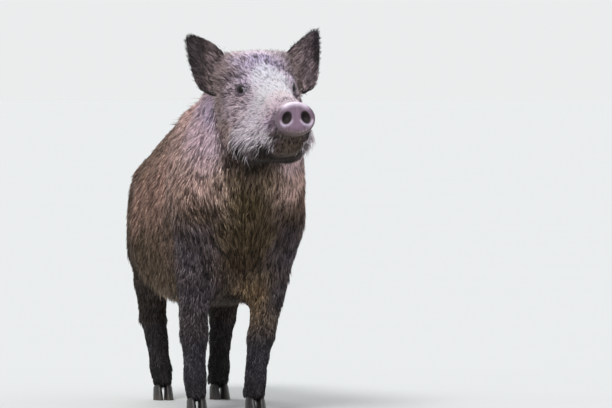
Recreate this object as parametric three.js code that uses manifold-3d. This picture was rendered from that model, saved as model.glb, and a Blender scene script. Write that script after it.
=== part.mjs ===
// Wild boar: a young sow standing with her head raised, life size, in millimetres.
// She faces -Y, her left side is +X and the floor is Z = 0. Every size runs out to the tips of the coat.
// The body is one smooth form, a blend of lofts, muscles and limbs, parted by thin flat cuts.
import * as THREE from "three";
import { mergeVertices } from "three/addons/utils/BufferGeometryUtils.js";
import Module from "manifold-3d";

const wasm = await Module();
wasm.setup();

// ---- Driving dimensions ----

const GAP = 0.4; // clear space between neighbouring pieces
const REACH = 1600; // side of a cutting block that only its near faces matter on
const SLIVER = 0.03; // cuts leave no edge shorter than this

// Cell sizes of the nets that the smooth form is meshed with.
const CELL = {
  trunk: [42, 66, 42],
  neck: [34, 37, 34],
  head: [17, 22, 17],
  upperLeg: [29, 31, 40],
  lowerLeg: [17.5, 19, 35],
};

// The boxes that those nets are made in, each with room round its form.
const NET = {
  head: { low: [-135, -215, -215], high: [135, 150, 150] },
  ears: { low: [-135, -60, -80], high: [135, 150, 150] },
  neck: { low: [-230, -420, 230], high: [230, 90, 910] },
  trunk: { low: [-230, -280, 170], high: [230, 800, 880] },
  rump: { low: [-120, 560, 300], high: [120, 800, 720], clear: 1.5 },
  leg: { side: 110, front: 120, back: 150, overlap: 70, top: 560, bottom: -10 },
};

// Neck and trunk by stations along Y: heights of the back and belly lines, the greatest half-width and
// its height, and how square the upper half of the section is (2 is an ellipse).
const TORSO = [
  { y: -250, top: 828, bottom: 632, half: 84, widest: 732, square: 2.4 },
  { y: -190, top: 844, bottom: 582, half: 100, widest: 710, square: 2.3 },
  { y: -140, top: 832, bottom: 500, half: 122, widest: 662, square: 2.1 },
  { y: -95, top: 812, bottom: 407, half: 142, widest: 602, square: 2 },
  { y: -50, top: 794, bottom: 312, half: 154, widest: 552, square: 2 },
  { y: 0, top: 780, bottom: 266, half: 158, widest: 522, square: 2 },
  { y: 100, top: 764, bottom: 252, half: 160, widest: 487, square: 2 },
  { y: 200, top: 743, bottom: 242, half: 167, widest: 447, square: 1.9 },
  { y: 350, top: 709, bottom: 237, half: 169, widest: 417, square: 1.85 },
  { y: 450, top: 685, bottom: 245, half: 168, widest: 410, square: 1.85 },
  { y: 540, top: 659, bottom: 280, half: 153, widest: 418, square: 1.9 },
  { y: 620, top: 632, bottom: 332, half: 134, widest: 442, square: 2 },
  { y: 700, top: 604, bottom: 387, half: 115, widest: 472, square: 2.1 },
];
const TORSO_ENDS = { front: -215, frontLength: 60, back: 640, backLength: 102, belly: 2.3 };

// The head in its own frame: origin midway between the eyes, -Y to the snout, mouth line level.
const HEAD = { x: 6, y: -300, z: 760, yaw: 5, pitch: -4, roll: -1.5 };
const SKULL = [
  { y: 125, top: 84, bottom: -120, half: 76, widest: -5, square: 2.6 },
  { y: 90, top: 95, bottom: -146, half: 86, widest: -22, square: 3.2 },
  { y: 50, top: 82, bottom: -158, half: 88, widest: -42, square: 2.8 },
  { y: 15, top: 58, bottom: -164, half: 82, widest: -62, square: 2.4 },
  { y: -20, top: 34, bottom: -166, half: 74, widest: -84, square: 2.2 },
  { y: -60, top: 13, bottom: -166, half: 63, widest: -94, square: 2.1 },
  { y: -100, top: -5, bottom: -163, half: 51, widest: -94, square: 2.1 },
  { y: -135, top: -19, bottom: -161, half: 45, widest: -90, square: 2.2 },
  { y: -160, top: -29, bottom: -152, half: 42, widest: -84, square: 2.3 },
  { y: -190, top: -40, bottom: -121, half: 42, widest: -80, square: 2.4 },
];
const SKULL_ENDS = { front: -176, frontLength: 24, back: 96, backLength: 40, belly: 2.7 };

// Muscles that swell the head on both sides, in its own frame: middle and half-sizes.
const HEAD_MUSCLES = [
  { at: [50, 42, -38], half: [38, 58, 46] }, // cheekbone and chewing muscle
  { at: [48, -14, -120], half: [41, 84, 44] }, // whiskered jowl
  { at: [24, -118, -100], half: [24, 66, 24] }, // upper lip
  { at: [62, 78, 44], half: [27, 24, 46] }, // root of the ear
  { at: [50, 8, 18], half: [18, 30, 14] }, // brow
];
const CHEEK_HOLLOW = { at: [75, -66, -30], half: [20, 52, 26] }; // below and before the eye
const BLEND = { head: 26, hollow: 24, body: 34, limb: 12 }; // how far round a joint two forms run together

// Muscles that swell the body on both sides, and the breast between the forelegs.
const BODY_MUSCLES = [
  { at: [88, 15, 590], half: [54, 84, 130] }, // shoulder blade
  { at: [52, 630, 480], half: [66, 88, 120] }, // ham
];
const BREAST = { at: [0, -62, 480], half: [92, 90, 130] };
const HOCK = { back: 18, up: 14, half: [18, 24, 34] }; // the point of the hock, from the hock joint

// Planes that part head from neck and neck from shoulders; both lean back at the top.
const HEAD_PARTING = { y: 102, z: 0, lean: -12 };
const NECK_PARTING = { y: -62, z: 642, lean: -26 };

// The snout disc, an oval plate: how far forward of its back and how wide, as a share, its profile runs.
const DISC = { back: -190, z: -80, half: 48, high: 40, around: 22 };
const DISC_PROFILE = [
  [0.84, 0],
  [0.95, 4],
  [1, 9],
  [1, 15],
  [0.97, 20],
  [0.88, 23.5],
  [0.6, 24],
  [0.3, 24.5],
];
const NOSTRIL = { x: 22.5, z: 3, size: [9, 15, 11.5] };

const EYE = { x: 56, y: -2, z: 0, radius: 12.5, segments: 11, rings: 7 };
// The opening round an eye, turned forward.
const SOCKET = { x: 68, y: -9, z: 0, size: [13, 14, 10], turn: -36 };
const MOUTH = { z: -121, back: -34, lean: 4 };
const BALL = { around: 12, rings: 7 }; // facets of a cutting ball

// An ear's edges from its root to its tip, head frame, left side.
const EAR = {
  inner: [
    [58, 84, 74],
    [76, 68, 98],
    [97, 63, 116],
    [118, 74, 132],
    [137, 90, 143],
    [153, 106, 147],
  ],
  outer: [
    [68, 80, -4],
    [100, 62, -12],
    [138, 66, 2],
    [153, 80, 36],
    [160, 95, 82],
    [162, 111, 128],
  ],
  hollow: [34, 30, 22, 14, 7, 2], // depth of the cup behind the line from edge to edge
  facing: [-0.42, 0.9, 0.1], // the way that the cup is deep
  thick: 7,
  thinning: 0.45, // share of the thickness that is lost from root to tip
  clear: 2, // room between the ear and the net of the head
  steps: 7,
  across: 5,
  root: [112, 72, 10], // the point that an ear turns about
};
// How each ear is held: leaned to the boar's left, in degrees, and stretched in height.
const EAR_SET = { right: { lean: 3, stretch: 0.94 }, left: { lean: 5, stretch: 1.01 } };

// Joints of the legs from the body down, right-hand x first, then the left: x, y, z and half-thickness.
const FORE_LEG = [
  { x: [-100, 102], y: -5, z: 560, r: 48 },
  { x: [-106, 106], y: -38, z: 455, r: 50 },
  { x: [-103, 102], y: 14, z: 372, r: 44 },
  { x: [-101, 84], y: 10, z: 286, r: 38 },
  { x: [-101, 62], y: 1, z: 192, r: 32 },
  { x: [-100, 52], y: 2, z: 128, r: 25 },
  { x: [-99, 45], y: 0, z: 76, r: 25 },
  { x: [-99, 43], y: -15, z: 44, r: 23 },
];
const HIND_LEG = [
  { x: [-60, 64], y: 606, z: 520, r: 66 },
  { x: [-92, 98], y: 520, z: 392, r: 58 },
  { x: [-86, 106], y: 582, z: 298, r: 45 },
  { x: [-71, 106], y: 636, z: 214, r: 33 },
  { x: [-62, 96], y: 624, z: 142, r: 25 },
  { x: [-56, 89], y: 608, z: 78, r: 25 },
  { x: [-55, 87], y: 592, z: 44, r: 23 },
];
const LEG_DEPTH = 1.18; // a leg is this much deeper, front to back, than it is wide
const FORE_PARTING = { z: 332, inner: [-46, 24], front: -170, back: 72, knee: 192 };
const HIND_PARTING = { y: 456, z: 330, lean: 30, middle: 12, hock: 208 };

// Foot and claws part on a plane through this height at the ankle, which rises towards the toe.
const FOOT = { top: 36, tilt: 14, ahead: 12, splay: 4 };

// A main claw: a horn shoe on a flat sole, with its point forward and bent to the other claw.
const CLAW = {
  long: 56,
  wide: 25,
  topLong: 42,
  topWide: 23,
  setBack: 9,
  apart: 13.2,
  bend: 3.5,
  narrow: 0.22, // share of its width that a claw loses at the toe
  around: 10,
  levels: [0, 0.12, 0.55, 1],
};
const DEWCLAW = {
  long: 27,
  radius: 7,
  shares: [0.7, 1, 0.8, 0.3], // of the radius, from its root to its tip
  back: 39,
  apart: 15,
  top: 58,
  lean: 24,
  around: 6,
};

// The tail hangs from the root to a hair tassel: points along its middle and half-thickness.
const TAIL = [
  { y: 684, z: 592, r: 22 },
  { y: 720, z: 580, r: 19 },
  { y: 744, z: 546, r: 14 },
  { y: 755, z: 500, r: 11 },
  { y: 759, z: 450, r: 10 },
  { y: 759, z: 405, r: 14 },
  { y: 757, z: 362, r: 12 },
  { y: 756, z: 338, r: 4 },
];
const TAIL_SWAY = 9; // sideways bow of the tail
const TAIL_WAVE = 5; // points along the tail that one bow of its sway takes
const TAIL_STEPS = 12;
const TAIL_AROUND = 8;

// ---- Small maths ----

const radians = THREE.MathUtils.degToRad;
const SIDES = [
  { name: "right", sign: -1, index: 0 },
  { name: "left", sign: 1, index: 1 },
];

/** A smooth curve through one value of a list of stations, as a function of their place along Y. */
function curveOf(stations, name) {
  const run = [...stations].sort((a, b) => a.y - b.y);
  const last = run.length - 1;
  return (y) => {
    let i = 0;
    while (i < last - 1 && y > run[i + 1].y) i += 1;
    const [a, b, before, after] = [i, i + 1, Math.max(i - 1, 0), Math.min(i + 2, last)].map((n) => run[n]);
    const span = b.y - a.y;
    const t = THREE.MathUtils.clamp((y - a.y) / span, 0, 1);
    const slopeA = ((b[name] - before[name]) / (b.y - before.y)) * span;
    const slopeB = ((after[name] - a[name]) / (after.y - a.y)) * span;
    const bend = t * t * (3 - 2 * t);
    return a[name] + (b[name] - a[name]) * bend + t * (1 - t) * (slopeA * (1 - t) - slopeB * t);
  };
}

/** The same curve read from a list of its values every millimetre, because it is asked for very often. */
function quickCurve(stations, name) {
  const curve = curveOf(stations, name);
  const low = Math.min(...stations.map((s) => s.y));
  const high = Math.max(...stations.map((s) => s.y));
  const values = Float64Array.from({ length: high - low + 2 }, (_, n) => curve(low + n));
  return (y) => {
    const place = THREE.MathUtils.clamp(y - low, 0, high - low);
    const n = Math.floor(place);
    return values[n] + (values[n + 1] - values[n]) * (place - n);
  };
}

/** Gradient of a field at a point. */
function slopeOf(field, [x, y, z], step = 0.5) {
  return [
    (field([x + step, y, z]) - field([x - step, y, z])) / (2 * step),
    (field([x, y + step, z]) - field([x, y - step, z])) / (2 * step),
    (field([x, y, z + step]) - field([x, y, z - step])) / (2 * step),
  ];
}

// ---- Fields: about the distance to a form, negative inside it ----

const smoothMin = (a, b, k) => {
  const h = Math.max(k - Math.abs(a - b), 0) / k;
  return Math.min(a, b) - (h * h * k) / 4;
};
const blend = (k, ...fields) => (p) => fields.reduce((d, field) => smoothMin(d, field(p), k), 1e6);
const hollowed = (k, field, ...holes) => (p) =>
  holes.reduce((d, hole) => -smoothMin(-d, hole(p), k), field(p));
const ellipsoid = ([cx, cy, cz], [rx, ry, rz]) => ([x, y, z]) => {
  const near = Math.hypot((x - cx) / rx, (y - cy) / ry, (z - cz) / rz);
  const far = Math.hypot((x - cx) / rx ** 2, (y - cy) / ry ** 2, (z - cz) / rz ** 2);
  return far > 0 ? (near * (near - 1)) / far : -Math.min(rx, ry, rz);
};

/** A body lofted through stations along Y, rounded off at both ends. */
function loft(stations, ends) {
  const names = ["top", "bottom", "half", "widest", "square"];
  const [top, bottom, half, widest, square] = names.map((name) => quickCurve(stations, name));
  const form = ([x, y, z]) => {
    const middle = widest(y);
    const up = z > middle;
    const power = up ? square(y) : ends.belly;
    const high = up ? top(y) - middle : middle - bottom(y);
    const section = (Math.abs(x / half(y)) ** power + Math.abs((z - middle) / high) ** power) ** (1 / power);
    const end = Math.max((ends.front - y) / ends.frontLength, (y - ends.back) / ends.backLength, 0);
    return Math.hypot(section, end) - 1;
  };
  return (p) => form(p) / Math.max(Math.hypot(...slopeOf(form, p)), 1 / 400);
}

/** A field that is only worked out near its form: far from it, a ball round the form stands for it. */
const within = ([cx, cy, cz], reach, field) => (p) => {
  const away = Math.hypot(p[0] - cx, p[1] - cy, p[2] - cz) - reach;
  return away > 60 ? away : field(p);
};

/** A limb of tapered lengths from joint to joint, deeper than it is wide. */
function limb(joints, depth) {
  const lengths = joints.slice(1).map((b, i) => {
    const a = joints[i];
    const [ax, ay, az] = [b.x - a.x, b.y - a.y, b.z - a.z];
    const square = ax * ax + ay * ay + az * az;
    return ([x, y, z]) => {
      const [fx, fy, fz] = [x - a.x, y - a.y, z - a.z];
      const t = THREE.MathUtils.clamp((fx * ax + fy * ay + fz * az) / square, 0, 1);
      return Math.hypot(fx - ax * t, (fy - ay * t) / depth, fz - az * t) - (a.r + (b.r - a.r) * t);
    };
  });
  const [first, last] = [joints[0], joints.at(-1)];
  const middle = ["x", "y", "z"].map((axis) => (first[axis] + last[axis]) / 2);
  return within(middle, (first.z - last.z) / 2 + 100, blend(BLEND.limb, ...lengths));
}

// ---- The body's forms ----

const headTurn = new THREE.Euler(radians(HEAD.pitch), radians(HEAD.roll), radians(HEAD.yaw), "ZXY");
const headPlace = new THREE.Matrix4().makeRotationFromEuler(headTurn).setPosition(HEAD.x, HEAD.y, HEAD.z);
const headPlaceBack = headPlace.clone().invert();
const moved = (field, matrix) => (p) => field(new THREE.Vector3(...p).applyMatrix4(matrix).toArray());

/** The same form on both sides. */
const paired = (make) => SIDES.map(({ sign }) => make(sign));

const muscle = ({ at: [x, y, z], half }) => (sign) => ellipsoid([sign * x, y, z], half);
const headForm = hollowed(
  BLEND.hollow,
  blend(BLEND.head, loft(SKULL, SKULL_ENDS), ...HEAD_MUSCLES.flatMap((size) => paired(muscle(size)))),
  ...paired(muscle(CHEEK_HOLLOW)),
);

const legJoints = (joints, index) => joints.map((joint) => ({ ...joint, x: joint.x[index] }));
const legForms = SIDES.flatMap(({ index }) => [
  limb(legJoints(FORE_LEG, index), LEG_DEPTH),
  limb(legJoints(HIND_LEG, index), LEG_DEPTH),
]);
const hockForms = SIDES.map(({ index }) => {
  const hock = legJoints(HIND_LEG, index)[3];
  return ellipsoid([hock.x, hock.y + HOCK.back, hock.z + HOCK.up], HOCK.half);
});

const HEAD_REACH = 230; // radius of a ball that holds the whole head
const bodyForm = blend(
  BLEND.body,
  loft(TORSO, TORSO_ENDS),
  within([HEAD.x, HEAD.y, HEAD.z], HEAD_REACH, moved(headForm, headPlaceBack)),
  ...legForms,
  ...hockForms,
  ...BODY_MUSCLES.flatMap((size) => paired(muscle(size))),
  ellipsoid(BREAST.at, BREAST.half),
);
const headView = moved(bodyForm, headPlace);

// ---- Meshing and cutting ----

/** Closed mesh of a field inside a box: one vertex a cell, drawn onto the surface. */
function netOf(field, { low, high }, cell) {
  const counts = low.map((value, axis) => Math.ceil((high[axis] - value) / cell[axis]) + 3);
  const at = (i, j, k) => [i, j, k].map((n, axis) => low[axis] + (n - 1) * cell[axis]);
  const middle = low.map((value, axis) => (value + high[axis]) / 2);
  const boxed = (p) => {
    const wall = Math.max(...p.map((v, axis) => Math.abs(v - middle[axis]) - (high[axis] - low[axis]) / 2));
    return Math.max(field(p), wall);
  };
  const index = (i, j, k) => (i * counts[1] + j) * counts[2] + k;
  const samples = new Float64Array(counts[0] * counts[1] * counts[2]);
  const eachCell = (visit) => {
    for (let i = 0; i < counts[0]; i += 1)
      for (let j = 0; j < counts[1]; j += 1) for (let k = 0; k < counts[2]; k += 1) visit(i, j, k);
  };
  eachCell((i, j, k) => (samples[index(i, j, k)] = boxed(at(i, j, k))));
  while (fillPinches(samples, counts, eachCell, index)) continue;

  const corners = [0, 1, 2, 3, 4, 5, 6, 7].map((n) => [n & 1, (n >> 1) & 1, (n >> 2) & 1]);
  const pairs = corners.flatMap((a, m) => corners.slice(m + 1).map((b) => [a, b]));
  const edges = pairs.filter(([a, b]) => Math.hypot(...a.map((v, axis) => v - b[axis])) === 1);
  const vertexOf = new Map();
  const points = [];
  eachCell((i, j, k) => {
    if (i + 1 >= counts[0] || j + 1 >= counts[1] || k + 1 >= counts[2]) return;
    const crossings = [];
    for (const [a, b] of edges) {
      const va = samples[index(i + a[0], j + a[1], k + a[2])];
      const vb = samples[index(i + b[0], j + b[1], k + b[2])];
      if (va < 0 === vb < 0) continue;
      const t = va / (va - vb);
      crossings.push(a.map((v, axis) => [i, j, k][axis] + v + (b[axis] - v) * t));
    }
    if (!crossings.length) return;
    const mean = [0, 1, 2].map((axis) => crossings.reduce((sum, c) => sum + c[axis], 0) / crossings.length);
    vertexOf.set(index(i, j, k), points.length);
    points.push(at(...mean));
  });

  const quads = [];
  eachCell((i, j, k) => {
    const here = samples[index(i, j, k)] < 0;
    for (const axis of [0, 1, 2]) {
      const step = [0, 1, 2].map((n) => (n === axis ? 1 : 0));
      const [i2, j2, k2] = [i + step[0], j + step[1], k + step[2]];
      if (i2 >= counts[0] || j2 >= counts[1] || k2 >= counts[2]) continue;
      if (here === samples[index(i2, j2, k2)] < 0) continue;
      const [u, v] = [(axis + 1) % 3, (axis + 2) % 3];
      const ring = [[0, 0], [-1, 0], [-1, -1], [0, -1]].map(([du, dv]) => {
        const cellAt = [i, j, k];
        cellAt[u] += du;
        cellAt[v] += dv;
        return vertexOf.get(index(...cellAt));
      });
      quads.push(here ? ring : ring.reverse());
    }
  });

  settle(points, quads, boxed, Math.min(...cell));
  return geometryOf(points, quads.flatMap((quad) => splitQuad(points, quad)));
}

/** Fills one sample where two solid corners meet only across a face of a cell, which would pinch the net. */
function fillPinches(samples, counts, eachCell, index) {
  let filled = false;
  eachCell((...here) => {
    for (const axis of [0, 1, 2]) {
      const [u, v] = [(axis + 1) % 3, (axis + 2) % 3];
      if (here[u] + 1 >= counts[u] || here[v] + 1 >= counts[v]) continue;
      const corner = (du, dv) => index(...here.map((n, a) => n + (a === u ? du : 0) + (a === v ? dv : 0)));
      const pairs = [
        [corner(0, 0), corner(1, 1)],
        [corner(1, 0), corner(0, 1)],
      ];
      const solid = pairs.map((pair) => pair.every((n) => samples[n] < 0));
      const open = pairs.findIndex((pair, n) => solid[1 - n] && pair.every((m) => samples[m] >= 0));
      if (open < 0) continue;
      const [a, b] = pairs[open];
      samples[samples[a] < samples[b] ? a : b] = -SLIVER;
      filled = true;
    }
  });
  return filled;
}

/** Evens out the vertices of a net along the surface and draws each onto it. */
function settle(points, quads, field, cell) {
  const neighbours = points.map(() => new Set());
  for (const quad of quads)
    quad.forEach((a, n) => {
      neighbours[a].add(quad[(n + 1) % 4]);
      neighbours[quad[(n + 1) % 4]].add(a);
    });
  for (let round = 0; round < 4; round += 1) {
    const even = points.map((p, n) => {
      const around = [...neighbours[n]].map((m) => points[m]);
      const mean = p.map((_, axis) => around.reduce((sum, q) => sum + q[axis], 0) / around.length);
      return p.map((v, axis) => (v + mean[axis]) / 2);
    });
    points.forEach((p, n) => {
      let q = round < 3 ? even[n] : p;
      for (let pull = 0; pull < 3; pull += 1) {
        const slope = slopeOf(field, q);
        const steep = Math.max(Math.hypot(...slope) ** 2, 0.05);
        const value = THREE.MathUtils.clamp(field(q), -0.5 * cell, 0.5 * cell);
        q = q.map((v, axis) => v - (value * slope[axis]) / steep);
      }
      points[n] = q;
    });
  }
}

/** A quad as two triangles across its shorter diagonal. */
function splitQuad(points, [a, b, c, d]) {
  const across = (m, n) => Math.hypot(...points[m].map((v, axis) => v - points[n][axis]));
  return across(a, c) < across(b, d) ? [a, b, c, a, c, d] : [b, c, d, b, d, a];
}

function geometryOf(points, triangles) {
  const geometry = new THREE.BufferGeometry();
  geometry.setAttribute("position", new THREE.BufferAttribute(new Float32Array(points.flat()), 3));
  return geometry.setIndex(triangles);
}

/** A three.js geometry as a solid that can be cut. */
function solidOf(geometry, place) {
  const bare = geometry.clone();
  bare.deleteAttribute("normal");
  bare.deleteAttribute("uv");
  if (place) bare.applyMatrix4(place);
  const merged = mergeVertices(bare, 1e-3);
  return new wasm.Manifold(
    new wasm.Mesh({
      numProp: 3,
      vertProperties: merged.attributes.position.array,
      triVerts: new Uint32Array(merged.index.array),
    }),
  );
}

/** A solid back as a three.js geometry: its largest body, without the crumbs and slivers of a cut. */
function geometryOfSolid(solid) {
  const body = solid.decompose().reduce((a, b) => (b.volume() > a.volume() ? b : a));
  const mesh = body.simplify(SLIVER).getMesh();
  const geometry = new THREE.BufferGeometry();
  geometry.setAttribute("position", new THREE.BufferAttribute(new Float32Array(mesh.vertProperties), 3));
  return geometry.setIndex(new THREE.BufferAttribute(new Uint32Array(mesh.triVerts), 1));
}

/** A cutting block between two corners, leaning about X at a point, grown on every side. */
function block(low, high, { grow = 0, lean = 0, about = [0, 0, 0] } = {}) {
  const size = low.map((value, axis) => high[axis] - value + 2 * grow);
  const centre = low.map((value, axis) => (value + high[axis]) / 2 - about[axis]);
  const place = new THREE.Matrix4()
    .makeTranslation(...about)
    .multiply(new THREE.Matrix4().makeRotationX(radians(lean)))
    .multiply(new THREE.Matrix4().makeTranslation(...centre));
  return solidOf(new THREE.BoxGeometry(...size), place);
}

/** A closed surface from rings of points, with a point or a flat fan at each end. */
function skinOfRings(rings) {
  const around = rings[0].length;
  const points = rings.flat();
  const triangles = [];
  for (let r = 0; r < rings.length - 1; r += 1)
    for (let n = 0; n < around; n += 1) {
      const [a, b] = [r * around + n, r * around + ((n + 1) % around)];
      triangles.push(a, b, b + around, a, b + around, a + around);
    }
  for (const [ring, flip] of [[0, true], [rings.length - 1, false]]) {
    const middle = [0, 1, 2].map((axis) => rings[ring].reduce((sum, p) => sum + p[axis], 0) / around);
    const hub = points.push(middle) - 1;
    for (let n = 0; n < around; n += 1) {
      const [a, b] = [ring * around + n, ring * around + ((n + 1) % around)];
      triangles.push(...(flip ? [b, a, hub] : [a, b, hub]));
    }
  }
  const geometry = geometryOf(points, triangles);
  return solidOf(geometry).volume() < 0 ? turnedOut(geometry) : geometry;
}

/** The same surface with its faces pointing the other way. */
function turnedOut(geometry) {
  const index = geometry.index.array;
  for (let n = 0; n < index.length; n += 3) [index[n + 1], index[n + 2]] = [index[n + 2], index[n + 1]];
  return geometry;
}

// ---- Materials ----

const finish = (color, roughness) => new THREE.MeshStandardMaterial({ color, roughness, metalness: 0 });
const COAT = {
  trunk: finish(0x6a5a4c, 0.85),
  neck: finish(0x8c7a70, 0.85),
  head: finish(0xa0938f, 0.85),
  jaw: finish(0x4a3f39, 0.85),
  ear: finish(0x4d4442, 0.85),
  leg: finish(0x2f2c2d, 0.8),
  tail: finish(0x4a4039, 0.85),
};
const SNOUT = finish(0x8f7680, 0.45);
const EYEBALL = finish(0x1d120d, 0.08);
const HORN = finish(0x2b2624, 0.5);

const boar = new THREE.Group();
boar.name = "wild_boar";

function add(parent, name, geometry, material) {
  const mesh = new THREE.Mesh(geometry, material);
  mesh.name = name;
  parent.add(mesh);
  return mesh;
}

// ---- Head, jaw, snout disc, ears and eyes, in the head's own frame ----

const headBlock = (grow) =>
  block([-REACH / 2, HEAD_PARTING.y - REACH, -REACH / 2], [REACH / 2, HEAD_PARTING.y, REACH / 2], {
    grow,
    lean: HEAD_PARTING.lean,
    about: [0, HEAD_PARTING.y, HEAD_PARTING.z],
  });
const jawBlock = (grow) =>
  block([-REACH / 2, MOUTH.back - REACH, MOUTH.z - REACH], [REACH / 2, MOUTH.back, MOUTH.z], {
    grow,
    lean: MOUTH.lean,
    about: [0, MOUTH.back, MOUTH.z],
  });
const discBlock = (grow) =>
  block([-REACH / 2, DISC.back - REACH, -REACH / 2], [REACH / 2, DISC.back, REACH / 2], { grow });

/** A cupped leaf between the ear's two edges, open to the front. */
function makeEar(name, sign) {
  const { lean, stretch } = EAR_SET[name];
  const root = new THREE.Vector3(sign * EAR.root[0], EAR.root[1], EAR.root[2]);
  const held = new THREE.Matrix4()
    .makeTranslation(root)
    .multiply(new THREE.Matrix4().makeRotationY(radians(lean)))
    .multiply(new THREE.Matrix4().makeScale(1, 1, stretch))
    .multiply(new THREE.Matrix4().makeTranslation(root.clone().negate()));
  const place = ([x, y, z]) => new THREE.Vector3(sign * x, y, z).applyMatrix4(held);
  const curve = (points) => new THREE.CatmullRomCurve3(points.map(place));
  const [inner, outer] = [curve(EAR.inner), curve(EAR.outer)];
  const depths = new THREE.CatmullRomCurve3(EAR.hollow.map((d, n) => new THREE.Vector3(n, d, 0)));
  const back = new THREE.Vector3(EAR.facing[0] * sign, EAR.facing[1], EAR.facing[2]).normalize();
  const rings = [];
  for (let step = 0; step <= EAR.steps; step += 1) {
    const t = step / EAR.steps;
    const [a, b] = [inner.getPoint(t), outer.getPoint(t)];
    const depth = depths.getPoint(t).y;
    const front = [];
    const rear = [];
    for (let n = 0; n <= EAR.across; n += 1) {
      const share = n / EAR.across;
      const cup = 1 - (2 * share - 1) ** 2;
      const edge = Math.sqrt(Math.max(1 - (2 * share - 1) ** 4, 0.08)); // thins to a blunt edge
      const half = (EAR.thick / 2) * edge * (1 - EAR.thinning * t);
      const middle = a.clone().lerp(b, share).addScaledVector(back, depth * cup);
      front.push(middle.clone().addScaledVector(back, -half).toArray());
      rear.unshift(middle.addScaledVector(back, half).toArray());
    }
    rings.push([...front, ...rear]);
  }
  return skinOfRings(rings);
}

const headGroup = new THREE.Group();
headGroup.rotation.copy(headTurn);
headGroup.position.set(HEAD.x, HEAD.y, HEAD.z);
boar.add(headGroup);

const headNet = solidOf(netOf(headView, NET.head, CELL.head));
const eyeGeometry = new THREE.SphereGeometry(EYE.radius, EYE.segments, EYE.rings);
const socketGeometry = new THREE.SphereGeometry(EYE.radius + GAP, EYE.segments, EYE.rings);
const eyePlace = (sign) => new THREE.Matrix4().makeTranslation(sign * EYE.x, EYE.y, EYE.z);
const socketPlace = (sign) =>
  new THREE.Matrix4()
    .makeTranslation(sign * SOCKET.x, SOCKET.y, SOCKET.z)
    .multiply(new THREE.Matrix4().makeRotationZ(radians(sign * SOCKET.turn)))
    .multiply(new THREE.Matrix4().makeScale(...SOCKET.size));
const ball = new THREE.SphereGeometry(1, BALL.around, BALL.rings);
const head = SIDES.reduce(
  (solid, { sign }) =>
    solid.subtract(solidOf(socketGeometry, eyePlace(sign))).subtract(solidOf(ball, socketPlace(sign))),
  headNet.intersect(headBlock(0)).subtract(jawBlock(GAP)).subtract(discBlock(GAP)),
);
add(headGroup, "head", geometryOfSolid(head), COAT.head);
const jaw = headNet.intersect(jawBlock(0)).subtract(discBlock(GAP));
add(headGroup, "lower_jaw", geometryOfSolid(jaw), COAT.jaw);

/** The oval snout disc: a turned plate, stretched sideways, with two blind nostrils. */
function makeDisc() {
  const [backShare, backAt] = DISC_PROFILE[0];
  const profile = [[0, backAt], [backShare, backAt], ...DISC_PROFILE.slice(1), [0, DISC_PROFILE.at(-1)[1]]];
  const lathe = new THREE.LatheGeometry(profile.map(([r, out]) => new THREE.Vector2(r, out)), DISC.around);
  const place = new THREE.Matrix4()
    .makeTranslation(0, DISC.back - GAP, DISC.z)
    .multiply(new THREE.Matrix4().makeScale(DISC.half, 1, DISC.high))
    .multiply(new THREE.Matrix4().makeRotationX(Math.PI));
  return SIDES.reduce((solid, { sign }) => {
    const front = DISC.back - GAP - profile.at(-1)[1];
    const nostril = new THREE.Matrix4()
      .makeTranslation(sign * NOSTRIL.x, front, DISC.z + NOSTRIL.z)
      .multiply(new THREE.Matrix4().makeScale(...NOSTRIL.size));
    return solid.subtract(solidOf(ball, nostril));
  }, solidOf(lathe, place));
}
add(headGroup, "snout_disc", geometryOfSolid(makeDisc()), SNOUT);

// The ears stand on the head, a little clear of it.
const headSkin = solidOf(netOf((p) => headView(p) - EAR.clear, NET.ears, CELL.head));
for (const { name, sign } of SIDES) {
  add(headGroup, "ear_" + name, geometryOfSolid(solidOf(makeEar(name, sign)).subtract(headSkin)), COAT.ear);
  add(headGroup, "eye_" + name, eyeGeometry, EYEBALL).position.set(sign * EYE.x, EYE.y, EYE.z);
}

// ---- Neck and trunk ----

const neckBlock = (grow) =>
  block([-REACH / 2, NECK_PARTING.y - REACH, -REACH / 2], [REACH / 2, NECK_PARTING.y, REACH / 2], {
    grow,
    lean: NECK_PARTING.lean,
    about: [0, NECK_PARTING.y, NECK_PARTING.z],
  });
const foreBlock = ({ sign, index }, grow) => {
  const inner = FORE_PARTING.inner[index];
  const [low, high] = sign < 0 ? [-REACH, inner] : [inner, REACH];
  return block([low, FORE_PARTING.front, -REACH], [high, FORE_PARTING.back, FORE_PARTING.z], { grow });
};
const hindBlock = ({ sign }, grow) => {
  const { y, z, lean, middle } = HIND_PARTING;
  const [low, high] = sign < 0 ? [-REACH, -middle] : [middle, REACH];
  const top = block([low, y - REACH, z - REACH], [high, y + REACH, z], { grow, lean, about: [0, y, z] });
  return top.intersect(block([low, y, -REACH], [high, y + REACH, REACH], { grow }));
};

const neckNet = solidOf(netOf(bodyForm, NET.neck, CELL.neck));
const headRoom = solidOf(geometryOfSolid(headBlock(GAP)), headPlace);
const neckOnly = neckNet.intersect(neckBlock(0)).subtract(headRoom);
add(boar, "neck", geometryOfSolid(neckOnly), COAT.neck);

const trunkNet = solidOf(netOf(bodyForm, NET.trunk, CELL.trunk));
const trunk = SIDES.reduce(
  (solid, side) => solid.subtract(foreBlock(side, GAP)).subtract(hindBlock(side, GAP)),
  trunkNet.subtract(neckBlock(GAP)),
);
add(boar, "trunk", geometryOfSolid(trunk), COAT.trunk);

// ---- Legs ----

/** Everything below the plane that parts a foot from its claws. */
const footCut = ({ x, y }) =>
  block([x - REACH / 2, y - REACH / 2, FOOT.top - REACH], [x + REACH / 2, y + REACH / 2, FOOT.top], {
    lean: -FOOT.tilt,
    about: [x, y, FOOT.top],
  });

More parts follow.
